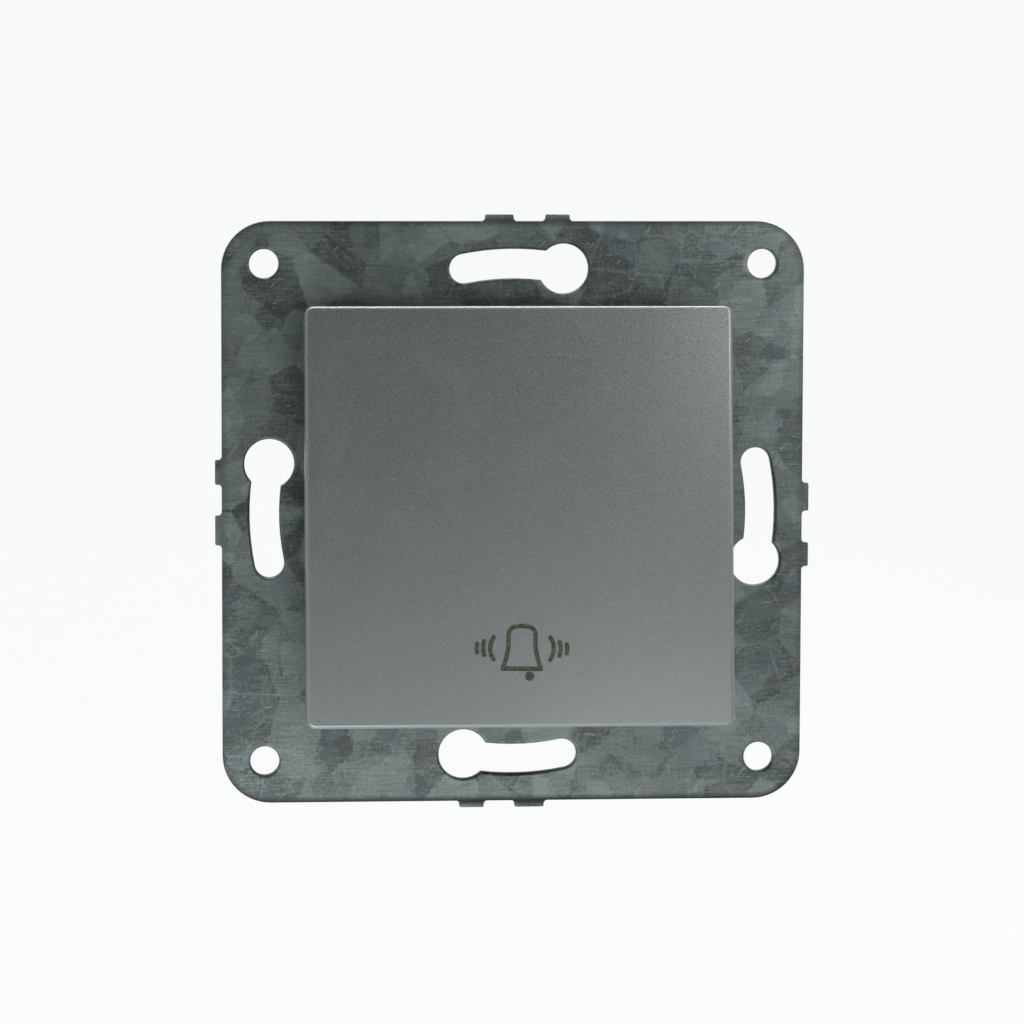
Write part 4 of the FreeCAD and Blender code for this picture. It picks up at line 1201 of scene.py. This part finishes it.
@dataclass
class Studio:
    """Floor, backdrop, lamps, world and camera. Metres and degrees."""

    floor_level: float = -0.12
    floor_side: float = 4.0
    backdrop: float = 0.75
    backdrop_height: float = 2.0
    curve_start: float = 0.3
    curve_step: float = 0.06
    curve_steps: int = 8
    distance: float = 0.55
    azimuth: float = -4.66
    elevation: float = 5.59
    roll: float = 0.17
    lens: float = 160.28
    framing: tuple[float, float] = (-0.00135, 0.00057)
    ambient: float = 0.22
    room: tuple[float, float] = (0.0, 14.0)
    room_span: tuple[float, float] = (34.0, 8.0)
    room_level: float = 0.08
    white: Colour = (0.947, 0.956, 0.973)
    lamps: tuple[Lamp, ...] = (
        Lamp("overhead", (0.0, 0.08, 0.40), (0.0, 0.0, 0.0), (0.5, 0.10), 2.7),
        Lamp("front", (0.09, -0.45, -0.03), (0.0, 0.0, 0.0), (0.10, 0.10), 0.12),
        Lamp("low_strip", (0.0, -0.060, -0.065), (0.0, -0.012, -0.02), (0.10, 0.03), 0.026),
        Lamp("low_left", (-0.045, -0.055, -0.06), (-0.02, -0.012, -0.02), (0.04, 0.04), 0.021),
        Lamp("high_right", (0.062, -0.055, 0.042), (0.02, -0.012, 0.02), (0.04, 0.04), 0.0265),
        Lamp("rear_fill", (0.28, 0.42, 0.20), (0.0, 0.01, 0.0), (0.4, 0.4), 2.2),
    )

    def sweep(self, paint: Material) -> None:
        """Makes the floor with the backdrop that curves up from it.

        Args:
            paint: the stage's material.
        """
        Bench.clear()
        bpy.ops.mesh.primitive_plane_add(size=1.0, location=(0.0, 0.0, self.floor_level))
        floor = bpy.context.object
        floor.name = "studio_floor"
        bpy.ops.object.mode_set(mode="EDIT")
        bpy.ops.mesh.select_mode(type="EDGE")
        bpy.ops.mesh.select_all(action="SELECT")
        bpy.ops.transform.resize(value=(self.floor_side, self.floor_side, 1.0))
        ahead = self.backdrop - self.floor_side / 2 - self.curve_start
        bpy.ops.transform.translate(value=(0.0, ahead, 0.0))
        edges = bmesh.from_edit_mesh(floor.data)
        far = max(vertex.co.y for vertex in edges.verts)
        bpy.ops.mesh.select_all(action="DESELECT")
        for edge in edges.edges:
            if all(abs(vertex.co.y - far) < NEAR for vertex in edge.verts):
                edge.select_set(True)
        bmesh.update_edit_mesh(floor.data)
        for number in range(self.curve_steps):
            lean = math.radians((number + 0.5) * 90 / self.curve_steps)
            step = (0.0, self.curve_step * math.cos(lean), self.curve_step * math.sin(lean))
            bpy.ops.mesh.extrude_region_move(TRANSFORM_OT_translate={"value": step})
        upright = (0.0, 0.0, self.backdrop_height)
        bpy.ops.mesh.extrude_region_move(TRANSFORM_OT_translate={"value": upright})
        bpy.ops.mesh.select_all(action="SELECT")
        bpy.ops.mesh.normals_make_consistent(inside=False)
        bpy.ops.object.mode_set(mode="OBJECT")
        Bench.settle(floor, 60.0)
        floor.data.materials.append(paint)

    def world(self) -> None:
        """Sets an even ambient light, which the camera sees as the background's white."""
        world = bpy.data.worlds.new("studio")
        bpy.context.scene.world = world
        world.use_nodes = True
        graph = Graph(world.node_tree)
        world.node_tree.nodes.clear()
        ambient = graph.add("Background", (1.0, 1.0, 1.0), self.ambient)
        white = graph.add("Background", self.surroundings(graph))
        mix = graph.add("MixShader", graph.seen(), ambient.outputs[0], white.outputs[0])
        graph.add("OutputWorld", mix.outputs[0])

    def surroundings(self, graph: Graph) -> Socket:
        """White all round, with the darker room in front of the object in reflections alone.

        Args:
            graph: the world's graph.

        Returns:
            The colour.
        """
        along = graph.add("VectorMath", graph.add("TexCoord").outputs["Generated"],
                          self.towards(*self.room), operation="DOT_PRODUCT")
        edge, core = (math.cos(math.radians(angle)) for angle in self.room_span)
        room = graph.spread(along.outputs["Value"], edge, core, smooth=True)
        reflected = graph.maths("MULTIPLY", room, graph.add("LightPath").outputs["Is Glossy Ray"])
        return graph.blend(reflected, self.white, (self.room_level,) * 3)

    @staticmethod
    def towards(azimuth: float, elevation: float) -> Point:
        """The direction from the object's middle to a viewer.

        Args:
            azimuth: angle round the object from its front, in degrees.
            elevation: angle above the level, in degrees.

        Returns:
            A vector of length 1.
        """
        around, above = math.radians(azimuth), math.radians(elevation)
        return (math.sin(around) * math.cos(above), -math.cos(around) * math.cos(above),
                math.sin(above))

    def camera(self) -> None:
        """Sets the camera at the photograph's place."""
        back = Vector(self.towards(self.azimuth, self.elevation))
        data = bpy.data.cameras.new("camera")
        data.lens = self.lens
        data.sensor_width = 36.0
        data.clip_start = 0.01
        data.shift_x, data.shift_y = self.framing
        camera = bpy.data.objects.new("camera", data)
        turn = (-back).to_track_quat("-Z", "Y").to_matrix().to_4x4()
        roll = Matrix.Rotation(math.radians(self.roll), 4, "Z")
        camera.matrix_world = Matrix.Translation(back * self.distance) @ turn @ roll
        bpy.context.scene.collection.objects.link(camera)
        bpy.context.scene.camera = camera

    def build(self) -> None:
        """Sets up the whole studio."""
        scene = bpy.context.scene
        scene.view_settings.view_transform = "Standard"
        self.sweep(StagePaint("studio_paint").build())
        self.world()
        for lamp in self.lamps:
            lamp.hang()
        self.camera()


def finishes(effects: Effects) -> dict[str, Material]:
    """Makes the finish of each of the record's slots.

    Args:
        effects: the shared effects.

    Returns:
        The materials by slot name.
    """
    upright = (0.0, 90.0, 0.0)
    made = (
        GalvanisedSteel("galvanised_steel"),
        KeyLacquer("key_lacquer"),
        MouldedPlastic("carrier_plastic", shade=(0.36, 0.37, 0.37)),
        MouldedPlastic("frame_plastic", shade=(0.62, 0.62, 0.59)),
        MouldedPlastic("housing_plastic", shade=(0.62, 0.62, 0.58), grain=0.25),
        DrawnMetal("spring_steel", shade=(0.52, 0.53, 0.54), gloss=0.22),
        DrawnMetal("contact_brass", shade=(0.72, 0.52, 0.24), tarnish=(0.42, 0.27, 0.12), gloss=0.26),
        DrawnMetal("contact_silver", shade=(0.80, 0.79, 0.76), gloss=0.3),
        DrawnMetal("zinc_plated_screw", shade=(0.62, 0.64, 0.66), tarnish=(0.44, 0.43, 0.38),
                   gloss=0.24),
        DrawnMetal("pin_steel", shade=(0.50, 0.50, 0.50), gloss=0.25, turn=upright),
        DrawnMetal("claw_steel", shade=(0.50, 0.52, 0.53), tarnish=(0.33, 0.33, 0.30), gloss=0.32,
                   turn=upright),
    )
    return {finish.name: finish.build(effects) for finish in made}


def main() -> None:
    """Builds every piece in order and sets up the picture."""
    logging.basicConfig(level=logging.INFO, format="%(name)s: %(message)s")
    Studio().build()
    dressing = Dressing(finishes(Effects()))
    for assembly in (Carcass(), KeyAssembly(), ContactBlock(), Claws()):
        assembly.build(dressing)
        log.info("finished %s", type(assembly).__name__)


if __name__ == "__main__":
    main()
